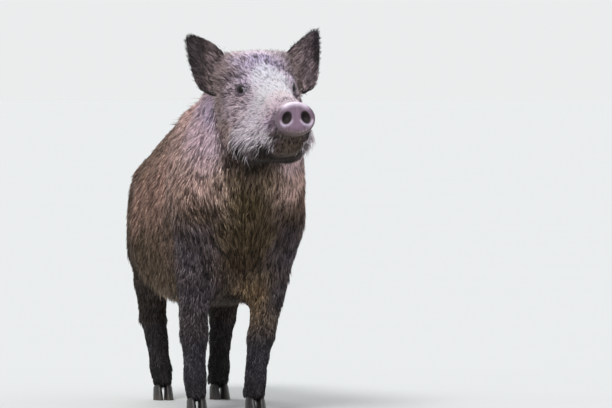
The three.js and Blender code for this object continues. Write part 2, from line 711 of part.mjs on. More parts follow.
/** The two lengths of a leg, parted at its knee or hock and cut where the claws begin. */
function addLeg(label, joints, side, region, knee, claws) {
  const chain = legJoints(joints, side.index);
  const [xs, ys] = [chain.map((joint) => joint.x), chain.map((joint) => joint.y)];
  const [left, front] = [Math.min(...xs) - NET.leg.side, Math.min(...ys) - NET.leg.front];
  const [right, back] = [Math.max(...xs) + NET.leg.side, Math.max(...ys) + NET.leg.back];
  const piece = (bottom, top, cell) => {
    const net = netOf(bodyForm, { low: [left, front, bottom], high: [right, back, top] }, cell);
    return solidOf(net).intersect(region(side, 0));
  };
  const below = (top) => block([-REACH / 2, -REACH / 2, top - REACH], [REACH / 2, REACH, top]);
  const upper = piece(knee - NET.leg.overlap, NET.leg.top, CELL.upperLeg).subtract(below(knee));
  const lower = claws.reduce(
    (solid, claw) => solid.subtract(claw),
    piece(NET.leg.bottom, knee + NET.leg.overlap, CELL.lowerLeg)
      .intersect(below(knee - GAP))
      .subtract(footCut(chain.at(-1))),
  );
  add(boar, `${side.name}_${label}_upper_leg`, geometryOfSolid(upper), COAT.leg);
  add(boar, `${side.name}_${label}_lower_leg`, geometryOfSolid(lower), COAT.leg);
}

/** One main claw, its flat sole on Z = 0 and its point to -Y; `inward` is the side of the other claw. */
function makeClaw(inward) {
  const rings = CLAW.levels.map((level) => {
    const long = THREE.MathUtils.lerp(CLAW.long, CLAW.topLong, level);
    const wide = THREE.MathUtils.lerp(CLAW.wide, CLAW.topWide, level);
    return Array.from({ length: CLAW.around }, (_, n) => {
      const angle = (2 * Math.PI * n) / CLAW.around;
      const toe = Math.max(-Math.sin(angle), 0);
      const x = Math.cos(angle) * (wide / 2) * (1 - CLAW.narrow * toe) + inward * CLAW.bend * toe ** 2;
      const y = Math.sin(angle) * (long / 2) + CLAW.setBack * level;
      const top = FOOT.top - 2 * GAP - (y - FOOT.ahead) * Math.tan(radians(FOOT.tilt));
      return [x, y, top * level];
    });
  });
  return skinOfRings(rings);
}

/** A dewclaw, a short horn cone that hangs behind the foot; `grow` makes the room that it sits in. */
function makeDewclaw(grow) {
  const step = (DEWCLAW.long + 2 * grow) / (DEWCLAW.shares.length - 1);
  const rings = DEWCLAW.shares.map((share, n) =>
    Array.from({ length: DEWCLAW.around }, (_, m) => {
      const angle = (2 * Math.PI * m) / DEWCLAW.around;
      const radius = DEWCLAW.radius * share + grow;
      return [Math.cos(angle) * radius, Math.sin(angle) * radius, grow - n * step];
    }),
  );
  return skinOfRings(rings);
}

/** The four claws of a foot, and the room for its dewclaws in the leg. */
function addFoot(label, joints, side) {
  const ankle = legJoints(joints, side.index).at(-1);
  const foot = new THREE.Group();
  foot.position.set(ankle.x, ankle.y - FOOT.ahead, 0);
  foot.rotation.z = radians(FOOT.splay * side.sign);
  boar.add(foot);
  return [["outer", -side.sign], ["inner", side.sign]].map(([place, inward]) => {
    const claw = add(foot, `${side.name}_${label}_${place}_claw`, makeClaw(inward), HORN);
    claw.position.x = -inward * CLAW.apart;
    const dew = add(foot, `${side.name}_${label}_${place}_dewclaw`, makeDewclaw(0), HORN);
    dew.position.set(-inward * DEWCLAW.apart, DEWCLAW.back, DEWCLAW.top);
    dew.rotation.x = radians(DEWCLAW.lean);
    dew.updateWorldMatrix(true, false);
    return solidOf(makeDewclaw(GAP), dew.matrixWorld);
  });
}

for (const side of SIDES) {
  const foreClaws = addFoot("fore", FORE_LEG, side);
  addLeg("fore", FORE_LEG, side, foreBlock, FORE_PARTING.knee, foreClaws);
  const hindClaws = addFoot("hind", HIND_LEG, side);
  addLeg("hind", HIND_LEG, side, hindBlock, HIND_PARTING.hock, hindClaws);
}

// ---- Tail ----

function makeTail() {
  const line = new THREE.CatmullRomCurve3(
    TAIL.map(({ y, z }, n) => new THREE.Vector3(TAIL_SWAY * Math.sin((Math.PI * n) / TAIL_WAVE), y, z)),
  );
  const rings = [];
  for (let step = 0; step <= TAIL_STEPS; step += 1) {
    const t = step / TAIL_STEPS;
    const along = line.getTangent(t);
    const side = new THREE.Vector3(1, 0, 0).addScaledVector(along, -along.x).normalize();
    const out = new THREE.Vector3().crossVectors(along, side);
    const place = t * (TAIL.length - 1);
    const low = Math.min(Math.floor(place), TAIL.length - 2);
    const radius = THREE.MathUtils.lerp(TAIL[low].r, TAIL[low + 1].r, place - low);
    rings.push(
      Array.from({ length: TAIL_AROUND }, (_, n) => {
        const angle = (2 * Math.PI * n) / TAIL_AROUND;
        return line
          .getPoint(t)
          .addScaledVector(side, Math.cos(angle) * radius)
          .addScaledVector(out, Math.sin(angle) * radius)
          .toArray();
      }),
    );
  }
  return skinOfRings(rings);
}

const rumpSkin = solidOf(netOf((p) => bodyForm(p) - NET.rump.clear, NET.rump, CELL.trunk));
add(boar, "tail", geometryOfSolid(solidOf(makeTail()).subtract(rumpSkin)), COAT.tail);

// ---- Origin: the middle of the box that the boar stands in, on the floor ----

boar.updateMatrixWorld(true);
const box = new THREE.Box3().setFromObject(boar, true);
boar.position.set(-(box.min.x + box.max.x) / 2, -(box.min.y + box.max.y) / 2, -box.min.z);

export default boar;
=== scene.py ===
"""Wild boar: a still, life-size model of a sow in a short grizzled coat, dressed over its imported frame.

One skin stands for the solids of flesh, lying under them by the depth of the coat. Tufts of bristle,
eyes and horn claws are pieces of their own. Sizes are in metres unless a name says millimetres.
"""
import logging
import math
from dataclasses import dataclass
from enum import Enum, IntEnum
from typing import Callable, Sequence

import bpy
import numpy as np
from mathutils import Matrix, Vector
from mathutils.bvhtree import BVHTree
from mathutils.kdtree import KDTree


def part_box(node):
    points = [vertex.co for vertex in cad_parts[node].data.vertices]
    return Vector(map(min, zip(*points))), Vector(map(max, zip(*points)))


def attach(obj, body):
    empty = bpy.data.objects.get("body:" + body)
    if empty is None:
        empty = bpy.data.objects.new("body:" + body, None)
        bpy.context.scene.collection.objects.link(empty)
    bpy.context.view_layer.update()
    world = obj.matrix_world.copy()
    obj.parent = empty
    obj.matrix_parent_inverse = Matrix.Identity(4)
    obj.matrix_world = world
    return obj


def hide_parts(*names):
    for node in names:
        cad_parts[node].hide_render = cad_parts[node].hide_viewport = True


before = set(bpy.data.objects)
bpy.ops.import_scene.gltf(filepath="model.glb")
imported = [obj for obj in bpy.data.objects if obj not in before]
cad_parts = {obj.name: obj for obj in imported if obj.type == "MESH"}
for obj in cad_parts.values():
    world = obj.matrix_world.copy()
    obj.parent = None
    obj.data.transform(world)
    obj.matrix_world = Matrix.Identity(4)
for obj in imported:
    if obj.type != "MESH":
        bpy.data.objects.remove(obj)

LOG = logging.getLogger("wild_boar")
Array = np.ndarray
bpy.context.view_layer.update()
MM = 0.001
ROOT = "root"
# A ripple's plain waves, and about how high they reach together.
RIPPLE_WAVES = 7
RIPPLE_HEIGHT = 2.6


# ---- Numbers and arrays ----


def unit(vectors: Array) -> Array:
    """The same vectors at length one."""
    return vectors / np.maximum(np.linalg.norm(vectors, axis=-1, keepdims=True), 1e-12)


def flat_to(vectors: Array, normals: Array) -> Array:
    """The part of each vector that lies in the surface, at length one."""
    return unit(vectors - normals * (vectors * normals).sum(-1, keepdims=True))


def linear(colour: Sequence[float]) -> Array:
    """A colour of 0 to 255 a channel, as linear light."""
    value = np.asarray(colour, float) / 255
    return np.where(value <= 0.04045, value / 12.92, ((value + 0.055) / 1.055) ** 2.4)


def ease(low: float, high: float, value: Array) -> Array:
    """0 below low, 1 above high, and an even rise between."""
    share = np.clip((value - low) / (high - low), 0, 1)
    return share * share * (3 - 2 * share)


def bump_at(points: Array, place: Sequence[float], reach: Sequence[float]) -> Array:
    """1 at a place, fading evenly to 0 away from it; reach says how widely along each axis."""
    return np.exp(-0.5 * (((points - np.asarray(place)) / np.asarray(reach)) ** 2).sum(-1))


def ripple(points: Array, length: float, seed: int) -> Array:
    """A soft random field of about -1 to 1.

    Args:
        points: where to read it.
        length: about how long its swells are, in metres.
        seed: which field.

    Returns:
        One value a point.
    """
    rng = np.random.default_rng(seed)
    total = np.zeros(len(points))
    for _ in range(RIPPLE_WAVES):
        wave = unit(rng.normal(size=3)) * 2 * math.pi / (length * rng.uniform(0.7, 1.5))
        total += np.sin(points @ wave + rng.uniform(0, 2 * math.pi))
    return total / RIPPLE_HEIGHT


def box_middle(node: str) -> Array:
    """Middle of a CAD node's box."""
    low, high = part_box(node)
    return (np.array(low) + np.array(high)) / 2


# ---- Meshes as arrays ----


@dataclass
class Surface:
    """Vertices and triangles of a mesh."""

    points: Array
    faces: Array

    def face_normals(self) -> Array:
        """Normal of each triangle, as long as twice its area."""
        a, b, c = (self.points[self.faces[:, n]] for n in range(3))
        return np.cross(b - a, c - a)

    def normals(self) -> Array:
        """Unit normal at each vertex."""
        across = self.face_normals()
        total = np.zeros_like(self.points)
        for corner in range(3):
            for axis in range(3):
                total[:, axis] += np.bincount(self.faces[:, corner], across[:, axis], len(self.points))
        return unit(total)

    def tree(self) -> BVHTree:
        """A search tree of the triangles."""
        return BVHTree.FromPolygons(self.points.tolist(), self.faces.tolist())

    def spread(self, values: Array, rounds: int) -> Array:
        """Evens a value out along the surface.

        Args:
            values: one number a vertex.
            rounds: how many times each vertex takes the mean of its neighbours.

        Returns:
            The evened values.
        """
        ends = np.concatenate([self.faces, self.faces[:, [1, 2, 0]]])
        others = np.concatenate([self.faces[:, [1, 2, 0]], self.faces])
        ends, others = ends.ravel(), others.ravel()
        count = np.maximum(np.bincount(ends, minlength=len(values)), 1)
        for _ in range(rounds):
            values = np.bincount(ends, values[others], len(values)) / count
        return values


def refined(surface: Surface, chosen: Array) -> Surface:
    """Halves the edges of some triangles, and parts their neighbours to match.

    Args:
        surface: what to refine.
        chosen: which of its triangles.

    Returns:
        The finer surface.
    """
    faces = surface.faces
    ends = np.sort(np.stack([faces, np.roll(faces, -1, axis=1)], 2), axis=2).reshape(-1, 2)
    edges, edge_of = np.unique(ends, axis=0, return_inverse=True)
    edge_of = edge_of.reshape(-1, 3)
    cut = np.zeros(len(edges), bool)
    cut[edge_of[chosen]] = True
    middle = np.full(len(edges), -1)
    middle[cut] = len(surface.points) + np.arange(cut.sum())
    points = np.concatenate([surface.points, surface.points[edges[cut]].mean(1)])
    halves = middle[edge_of]
    count = (halves >= 0).sum(1)
    made = [faces[count == 0]]
    v, m = faces[count == 3], halves[count == 3]
    for corners in ((v[:, 0], m[:, 0], m[:, 2]), (v[:, 1], m[:, 1], m[:, 0]), (v[:, 2], m[:, 2], m[:, 1])):
        made.append(np.stack(corners, 1))
    made.append(m)
    for turn in range(3):
        v, m = np.roll(faces, -turn, axis=1), np.roll(halves, -turn, axis=1)
        one = (count == 1) & (m[:, 0] >= 0)
        two = (count == 2) & (m[:, 2] < 0)
        a, b, c = v[one].T
        made += [np.stack([a, m[one, 0], c], 1), np.stack([m[one, 0], b, c], 1)]
        a, b, c = v[two].T
        first, second = m[two, 0], m[two, 1]
        made += [np.stack(x, 1) for x in ((first, b, second), (a, first, second), (a, second, c))]
    return Surface(points, np.concatenate(made))


def joined(surfaces: Sequence[Surface]) -> Surface:
    """Several surfaces as one.

    Args:
        surfaces: what to join, in order.

    Returns:
        One surface, whose parts keep their own vertices.
    """
    starts = np.cumsum([0] + [len(s.points) for s in surfaces[:-1]])
    faces = [s.faces + start for s, start in zip(surfaces, starts)]
    return Surface(np.concatenate([s.points for s in surfaces]), np.concatenate(faces))


def surface_of(mesh: bpy.types.Mesh, merge: bool = False) -> Surface:
    """A mesh's vertices and triangles.

    Args:
        mesh: the mesh to read.
        merge: joins vertices at one place, as a CAD node's loose triangles need.

    Returns:
        The surface.
    """
    points = np.empty(len(mesh.vertices) * 3)
    mesh.vertices.foreach_get("co", points)
    points = points.reshape(-1, 3)
    mesh.calc_loop_triangles()
    faces = np.empty(len(mesh.loop_triangles) * 3, np.int32)
    mesh.loop_triangles.foreach_get("vertices", faces)
    faces = faces.reshape(-1, 3)
    if merge:
        _, first, place = np.unique(np.round(points, 5), axis=0, return_index=True, return_inverse=True)
        faces = place.reshape(-1)[faces]
        points = points[first]
        same = (faces[:, 0] == faces[:, 1]) | (faces[:, 1] == faces[:, 2]) | (faces[:, 2] == faces[:, 0])
        faces = faces[~same]
    return Surface(points, faces)


def mesh_of(name: str, surface: Surface) -> bpy.types.Mesh:
    """A smooth-shaded Blender mesh.

    Args:
        name: the mesh's name.
        surface: its vertices and triangles.

    Returns:
        The mesh.
    """
    mesh = bpy.data.meshes.new(name)
    mesh.vertices.add(len(surface.points))
    mesh.vertices.foreach_set("co", surface.points.astype(np.float32).ravel())
    mesh.loops.add(surface.faces.size)
    mesh.loops.foreach_set("vertex_index", surface.faces.astype(np.int32).ravel())
    mesh.polygons.add(len(surface.faces))
    mesh.polygons.foreach_set("loop_start", np.arange(0, surface.faces.size, 3, dtype=np.int32))
    mesh.polygons.foreach_set("use_smooth", np.full(len(surface.faces), True))
    mesh.update(calc_edges=True)
    return mesh


def object_of(name: str, mesh: bpy.types.Mesh) -> bpy.types.Object:
    """A mesh's object, at the origin of the scene.

    Args:
        name: the object's name.
        mesh: its mesh.

    Returns:
        The object.
    """
    made = bpy.data.objects.new(name, mesh)
    bpy.context.scene.collection.objects.link(made)
    return made


def applied(made: bpy.types.Object) -> bpy.types.Mesh:
    """The mesh that an object's modifiers make.

    Args:
        made: the object, which is removed.

    Returns:
        A plain mesh.
    """
    graph = bpy.context.evaluated_depsgraph_get()
    mesh = bpy.data.meshes.new_from_object(made.evaluated_get(graph))
    bpy.data.objects.remove(made)
    return mesh


def weigh(made: bpy.types.Object, name: str, weights: Array, finest: int = 32) -> None:
    """Gives an object a vertex group.

    Args:
        made: the object.
        name: the group's name.
        weights: one weight a vertex.
        finest: the number of steps that the weights are rounded to.
    """
    group = made.vertex_groups.new(name=name)
    steps = np.round(np.clip(weights, 0, 1) * finest).astype(int)
    for step in range(1, finest + 1):
        members = np.nonzero(steps == step)[0]
        if len(members):
            group.add(members.tolist(), step / finest, "REPLACE")


def colour_attribute(mesh: bpy.types.Mesh, name: str, colours: Array) -> None:
    """Stores a colour at each vertex.

    Args:
        mesh: the mesh.
        name: the attribute's name.
        colours: linear colours.
    """
    layer = mesh.color_attributes.new(name, "FLOAT_COLOR", "POINT")
    full = np.ones((len(colours), 4), np.float32)
    full[:, :3] = np.clip(colours, 0, 1)
    layer.data.foreach_set("color", full.ravel())


def value_attribute(mesh: bpy.types.Mesh, name: str, values: Array) -> None:
    """Stores a number at each vertex."""
    mesh.attributes.new(name, "FLOAT", "POINT").data.foreach_set("value", values.astype(np.float32))


# ---- Frames and regions of the body ----


@dataclass(frozen=True)
class HeadFrame:
    """The head's own frame: origin midway between the eyes, X to her left, Y to the nape, Z to the crown.

    The snout disc's middle lies a known way below the level from eye to snout.
    """

    origin: Array
    axes: Array

    @classmethod
    def of_boxes(
        cls, ahead_mm: float = 200.6, below_mm: float = 80.0, eye_back_mm: float = 2.0
    ) -> "HeadFrame":
        """The frame that the eyes and the snout disc set.

        Args:
            ahead_mm: how far the disc's middle lies before the eyes.
            below_mm: how far it lies below them.
            eye_back_mm: how far the origin lies behind the eyes' middles.

        Returns:
            The frame.
        """
        left, right, disc = (box_middle(node) for node in ("eye_left", "eye_right", "snout_disc"))
        across = unit(left - right)
        reach = disc - (left + right) / 2
        ahead = unit(reach - across * (reach @ across))
        above = -np.cross(across, ahead)
        drop = math.atan2(below_mm, ahead_mm)
        back = -math.cos(drop) * ahead - math.sin(drop) * above
        up = -math.sin(drop) * ahead + math.cos(drop) * above
        return cls((left + right) / 2 + back * eye_back_mm * MM, np.array([across, back, up]))

    def inside(self, points: Array) -> Array:
        """Points of the row frame as millimetres of the head."""
        return (points - self.origin) @ self.axes.T / MM

    def turned(self, vectors: Array) -> Array:
        """Directions of the head as directions of the row frame."""
        return np.asarray(vectors, float) @ self.axes


    def sight(self, way: Sequence[float], side: int) -> tuple[Array, Array, Array]:
        """Directions for an eye, in the row frame.

        Args:
            way: where her left eye faces, in the head's frame.
            side: 1 for her left eye, -1 for her right.

        Returns:
            The ways ahead of the eye, across it and above it.
        """
        ahead = self.turned(unit(np.array(way, float) * (side, 1, 1)))
        across = unit(np.cross(self.axes[2], ahead))
        return ahead, across, np.cross(ahead, across)

    def share(self, points: Array) -> Array:
        """1 on the head, fading to 0 over the nape; points are in the row frame."""
        return ease(125, 85, self.inside(points)[:, 1]) * (points[:, 2] > 0.55)

    def folded(self, points: Array) -> Array:
        """Points of the row frame as millimetres of the head, with her right laid over her left."""
        local = self.inside(points)
        return np.abs(local) * (1, 0, 0) + local * (0, 1, 1)


class Part(IntEnum):
    """What a piece of the body is."""

    TRUNK = 0
    NECK = 1
    HEAD = 2
    JAW = 3
    DISC = 4
    EAR = 5
    UPPER_LEG = 6
    LOWER_LEG = 7
    TAIL = 8


@dataclass(frozen=True)
class Flesh:
    """How one part's skin is made.

    Even says how strongly its facets are smoothed away, coat_mm how deep its coat is, and fine how much of
    its mesh stays when the body is thinned.
    """

    even: float
    coat_mm: float
    fine: float


FLESH = {
    Part.TRUNK: Flesh(1.0, 15, 0.0),
    Part.NECK: Flesh(0.9, 16, 0.1),
    Part.HEAD: Flesh(0.2, 3.2, 1.0),
    Part.JAW: Flesh(0.2, 5, 1.0),
    Part.DISC: Flesh(0.03, 0, 1.0),
    Part.EAR: Flesh(0.06, 0.6, 0.9),
    Part.UPPER_LEG: Flesh(0.8, 9, 0.1),
    Part.LOWER_LEG: Flesh(0.3, 3, 0.4),
    Part.TAIL: Flesh(0.25, 4, 0.2),
}


# The end of a CAD node's name says which part it is; eyes and claws are none of them.
NODE_ENDS = {
    "trunk": Part.TRUNK,
    "neck": Part.NECK,
    "head": Part.HEAD,
    "jaw": Part.JAW,
    "disc": Part.DISC,
    "ear_left": Part.EAR,
    "ear_right": Part.EAR,
    "upper_leg": Part.UPPER_LEG,
    "lower_leg": Part.LOWER_LEG,
    "tail": Part.TAIL,
}


def part_of(node: str) -> Part | None:
    """The part that a CAD node belongs to, or None for eyes and claws."""
    return next((part for end, part in NODE_ENDS.items() if node.endswith(end)), None)


HEAD_FRAME = HeadFrame.of_boxes()
FLESH_NODES = [node for node in sorted(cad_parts) if part_of(node) is not None]
CLAWS = [node for node in sorted(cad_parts) if node.endswith("claw")]
DEWCLAWS = [node for node in CLAWS if node.endswith("dewclaw")]
TRUNK = (Part.TRUNK, Part.NECK)
HEADS = (Part.HEAD, Part.JAW)
LEGS = (Part.UPPER_LEG, Part.LOWER_LEG)


@dataclass(frozen=True)
class Guides:
    """Places with a value each, such as the lie of the hair; between them the values run together."""

    places: Array
    values: Array
    sharpness: float = 1.6
    soft: float = 18.0

    @classmethod
    def mirrored(cls, rows: Sequence[tuple], vector: bool, **more: float) -> "Guides":
        """Guides on her left, repeated on her right.

        Args:
            rows: place and value in millimetres, and 1 or -1 after them for her left or right alone.
            vector: the first three values are a direction, whose X turns round on the other side.
            more: how the values run together.

        Returns:
            Guides of both sides.
        """
        places, values = [], []
        for place, value, *only in rows:
            for side in (1, -1):
                if (side < 0 and place[0] == 0) or side in [-alone for alone in only]:
                    continue
                flip = np.ones(len(value))
                if vector:
                    flip[0] = side
                places.append(np.array(place, float) * (side, 1, 1))
                values.append(np.array(value, float) * flip)
        return cls(np.array(places), np.array(values), **more)

    def at(self, points: Array) -> Array:
        """The values between the guides.

        Args:
            points: places in millimetres.

        Returns:
            A row of values for each.
        """
        apart = ((points[:, None, :] - self.places[None]) ** 2).sum(-1) + self.soft**2
        weights = apart**-self.sharpness
        return weights @ self.values / weights.sum(1, keepdims=True)


# Lie of the coat on neck, trunk and legs: place in the row frame; direction, then length in millimetres.
BODY_LIE = Guides.mirrored([
    ((0, -330, 845), (0, 1, 0.1, 38)),
    ((0, -230, 825), (0, 1, -0.2, 56)),
    ((0, -125, 785), (0, 1, -0.1, 60)),
    ((0, 100, 745), (0, 1, -0.1, 52)),
    ((0, 330, 690), (0, 1, -0.1, 46)),
    ((0, 520, 620), (0, 0.8, -0.5, 44)),
    ((90, -300, 790), (0.1, 0.75, -0.6, 44)),
    ((110, -280, 700), (0, 0.62, -0.78, 46)),
    ((75, -330, 600), (0, 0.5, -0.9, 46)),
    ((0, -350, 560), (0, 0.2, -1, 44)),
    ((120, -200, 600), (0, 0.6, -0.8, 46)),
    ((110, -120, 700), (0.1, 0.7, -0.7, 48)),
    ((155, -110, 560), (0, 0.35, -0.93, 42)),
    ((110, -215, 480), (-0.45, -0.1, -0.9, 46)),
    ((60, -265, 450), (-0.4, -0.1, -0.9, 46)),
    ((0, -280, 430), (0, -0.1, -1, 46)),
    ((40, -230, 320), (-0.1, 0.2, -1, 40)),
    ((140, -100, 380), (0, 0.3, -0.95, 32)),
    ((130, 80, 640), (0.1, 0.8, -0.6, 48)),
    ((165, 80, 480), (0, 0.5, -0.86, 46)),
    ((150, 80, 330), (0, 0.5, -0.86, 46)),
    ((100, 80, 265), (-0.2, 0.5, -0.8, 50)),
    ((0, 80, 245), (0, 1, 0, 40)),
    ((168, 280, 440), (0, 0.5, -0.86, 46)),
    ((150, 280, 290), (0, 0.4, -0.9, 48)),
    ((120, 450, 600), (0.1, 0.7, -0.7, 42)),
    ((140, 480, 440), (0, 0.25, -0.97, 38)),
    ((70, 590, 480), (0, 0.1, -1, 38)),
    ((140, 380, 350), (0, 0.3, -0.95, 34)),
    ((40, 480, 330), (0, 0.1, -1, 25)),
    ((95, -120, 270), (0, 0.15, -1, 22)),
    ((75, -125, 120), (0, 0.1, -1, 12)),
    ((75, -125, 30), (0, 0, -1, 9)),
    ((95, 470, 270), (0, 0.3, -0.95, 22)),
    ((80, 490, 130), (0, 0.1, -1, 12)),
    ((75, 470, 30), (0, 0, -1, 9)),
], vector=True, soft=30)

# The same on the head, in the head's frame.
HEAD_LIE = Guides.mirrored([
    ((0, -170, -35), (0, 1, 0.25, 5)),
    ((0, -120, -8), (0, 0.95, 0.3, 7)),
    ((0, -70, 10), (0, 0.85, 0.5, 10)),
    ((0, -10, 42), (0, 0.55, 0.83, 13)),
    ((30, -15, 30), (0.35, 0.5, 0.8, 12)),
    ((0, 45, 82), (0, 0.95, 0.3, 18)),
    ((40, 60, 80), (0.35, 0.9, 0.1, 18)),
    ((0, 95, 95), (0, 1, 0, 28)),
    ((62, 15, 25), (0.4, 0.75, 0.5, 11)),
    ((60, -30, -15), (0.25, 0.95, 0.1, 7)),
    ((45, -100, -50), (0.1, 0.98, 0.1, 8)),
    ((40, -140, -95), (0.3, 0.75, -0.6, 11)),
    ((60, -60, -95), (0.25, 0.75, -0.6, 15)),
    ((80, 0, -60), (0.2, 0.85, -0.45, 17)),
    ((70, -20, -120), (0.15, 0.6, -0.8, 22)),
    ((60, -20, -150), (0.1, 0.5, -0.85, 27)),
    ((0, -60, -166), (0, 0.7, -0.7, 18)),
    ((0, -150, -155), (0, 0.5, -0.85, 12)),
    ((92, 50, -30), (0.4, 0.85, -0.2, 24)),
    ((92, 70, 20), (0.6, 0.6, 0.3, 25)),
    ((85, 90, -90), (0.2, 0.8, -0.6, 30)),
    ((70, 60, 55), (0.7, 0.5, 0.5, 20)),
], vector=True, soft=12)

# Colours of the coat, 0 to 255 a channel, at the same kind of places; some rows hold painted shade, as
# marked.
BODY_TONES = Guides.mirrored([
    ((0, -330, 850), (190, 170, 168)),
    ((0, -230, 830), (166, 142, 136)),
    ((0, -125, 785), (132, 108, 100)),
    ((0, 100, 750), (102, 82, 72)),
    ((0, 330, 700), (92, 75, 64)),
    ((0, 520, 630), (86, 71, 60)),
    ((95, -290, 790), (182, 158, 158)),
    # Behind the cheek: darker and bluer, partly painted shade under the head.
    ((88, -300, 713), (170, 151, 170)),
    ((93, -155, 713), (204, 168, 162)),
    ((104, -263, 667), (232, 201, 211)),
    ((85, -287, 632), (246, 218, 232)),
    ((92, -265, 600), (236, 202, 206)),
    # Under the jaw and down the throat: painted shadow of the head on the neck.
    ((48, -307, 609), (56, 45, 38)),
    ((0, -310, 597), (42, 34, 28)),
    ((0, -335, 560), (72, 58, 40)),
    ((45, -290, 560), (96, 80, 62)),
    ((70, -262, 560), (152, 128, 116)),
    ((109, -230, 550), (192, 160, 152)),
    ((135, -128, 619), (156, 128, 120)),
    ((125, -195, 525), (126, 102, 92)),
    ((140, 0, 550), (144, 113, 102)),
    ((130, 80, 640), (118, 95, 84)),
    # Front of shoulder and chest: dark hair, partly painted shade under the head and neck.
    ((112, -215, 475), (78, 63, 52)),
    ((3, -264, 503), (78, 65, 45)),
    ((0, -250, 430), (68, 55, 37)),
    ((25, -235, 360), (62, 48, 33)),
    ((55, -240, 420), (78, 64, 46)),
    ((110, -210, 444), (74, 64, 67)),
    ((119, -165, 385), (78, 70, 75)),
    ((86, -201, 409), (76, 66, 67)),
    ((145, -90, 420), (84, 67, 57)),
    ((160, 80, 500), (122, 95, 83)),
    ((155, 80, 380), (88, 71, 57)),
    ((145, 190, 350), (76, 62, 48)),
    ((145, 240, 494), (122, 95, 83)),
    ((110, 80, 265), (86, 72, 58)),
    ((105, 260, 262), (116, 99, 82)),
    # Underside of belly and chest: painted shade, darkened against the light that the floor throws up.
    ((0, 80, 245), (44, 36, 30)),
    ((0, -80, 290), (46, 38, 31)),
    ((150, 280, 290), (80, 66, 54)),
    ((120, 450, 600), (102, 82, 71)),
    ((140, 480, 440), (86, 70, 60)),
    ((70, 590, 480), (80, 67, 57)),
    ((140, 380, 350), (68, 57, 49)),
    ((95, -150, 289), (78, 70, 74)),
    ((45, -150, 289), (134, 110, 82), 1),
    ((75, -125, 120), (64, 60, 67)),
    ((75, -125, 30), (46, 43, 46)),
    ((95, 470, 270), (60, 52, 48)),
    ((80, 490, 130), (52, 48, 50)),
    ((75, 470, 30), (44, 41, 42)),
], vector=False, soft=25, sharpness=2.2)
HEAD_TONES = Guides.mirrored([
    ((0, 5, 46), (214, 210, 224)),
    ((0, -15, 36), (228, 226, 236)),
    ((22, -25, 25), (222, 218, 228)),
    ((10, 35, 68), (138, 127, 150)),
    ((28, 26, 56), (128, 116, 137)),
    ((0, 64, 88), (242, 226, 236)),
    ((36, 62, 86), (232, 216, 225)),
    ((36, 40, 68), (132, 118, 132)),
    ((50, 42, 66), (158, 144, 160)),
    ((69, 37, 39), (116, 101, 108)),
    ((50, 2, 34), (140, 127, 141)),
    ((0, -80, 0), (240, 236, 244)),
    ((17, -80, -5), (240, 236, 244)),
    ((37, -80, -27), (240, 234, 240)),
    ((47, -63, -44), (238, 227, 236)),
    ((0, -125, -15), (246, 232, 236)),
    ((32, -123, -40), (242, 224, 232)),
    ((42, -120, -64), (236, 218, 228)),
    ((0, -168, -35), (206, 190, 198)),
    ((22, -160, -42), (206, 184, 196)),
    ((38, -150, -56), (196, 173, 185)),
    ((46, -140, -85), (146, 126, 144)),
    # Beside the disc her right is darker than her left: partly dark skin, partly painted shadow.
    ((44, -168, -80), (106, 87, 102), -1),
    ((44, -168, -80), (160, 141, 150), 1),
    ((61, -23, -46), (186, 168, 177)),
    ((55, -75, -73), (228, 216, 228)),
    ((79, -1, -56), (152, 133, 141)),
    ((83, 29, -88), (132, 110, 108)),
    ((68, -75, -104), (138, 122, 134)),
    ((66, -67, -122), (96, 82, 86)),
    # Under the jowls: very dark, partly dark hair, partly painted shade under the head.
    ((76, -18, -137), (28, 21, 16)),
    ((44, -85, -142), (36, 29, 26)),
    # Lower beside the disc her right is again darker than her left: partly dark skin, partly painted
    # shadow.
    ((45, -137, -118), (80, 65, 74), -1),
    ((45, -137, -118), (142, 124, 130), 1),
    ((35, -166, -124), (62, 50, 52)),
    ((19, -165, -136), (74, 60, 52)),
    ((5, -175, -130), (78, 64, 54)),
    ((13, -152, -148), (70, 58, 50)),
    # Under the jaw: very dark, partly dark hair, partly painted shade.
    ((30, -30, -166), (28, 22, 19)),
    ((0, -100, -166), (30, 24, 20)),
    ((62, -38, -20), (190, 172, 184)),
    ((66, 8, 6), (134, 118, 126)),
    ((72, -2, -20), (142, 125, 131)),
    ((60, -8, 20), (150, 134, 152)),
    ((92, 60, -30), (132, 113, 115)),
    ((85, 85, -90), (120, 100, 98)),
    ((92, 70, 25), (116, 98, 99)),
    ((82, 60, 60), (142, 124, 128)),
], vector=False, soft=8, sharpness=2.2)


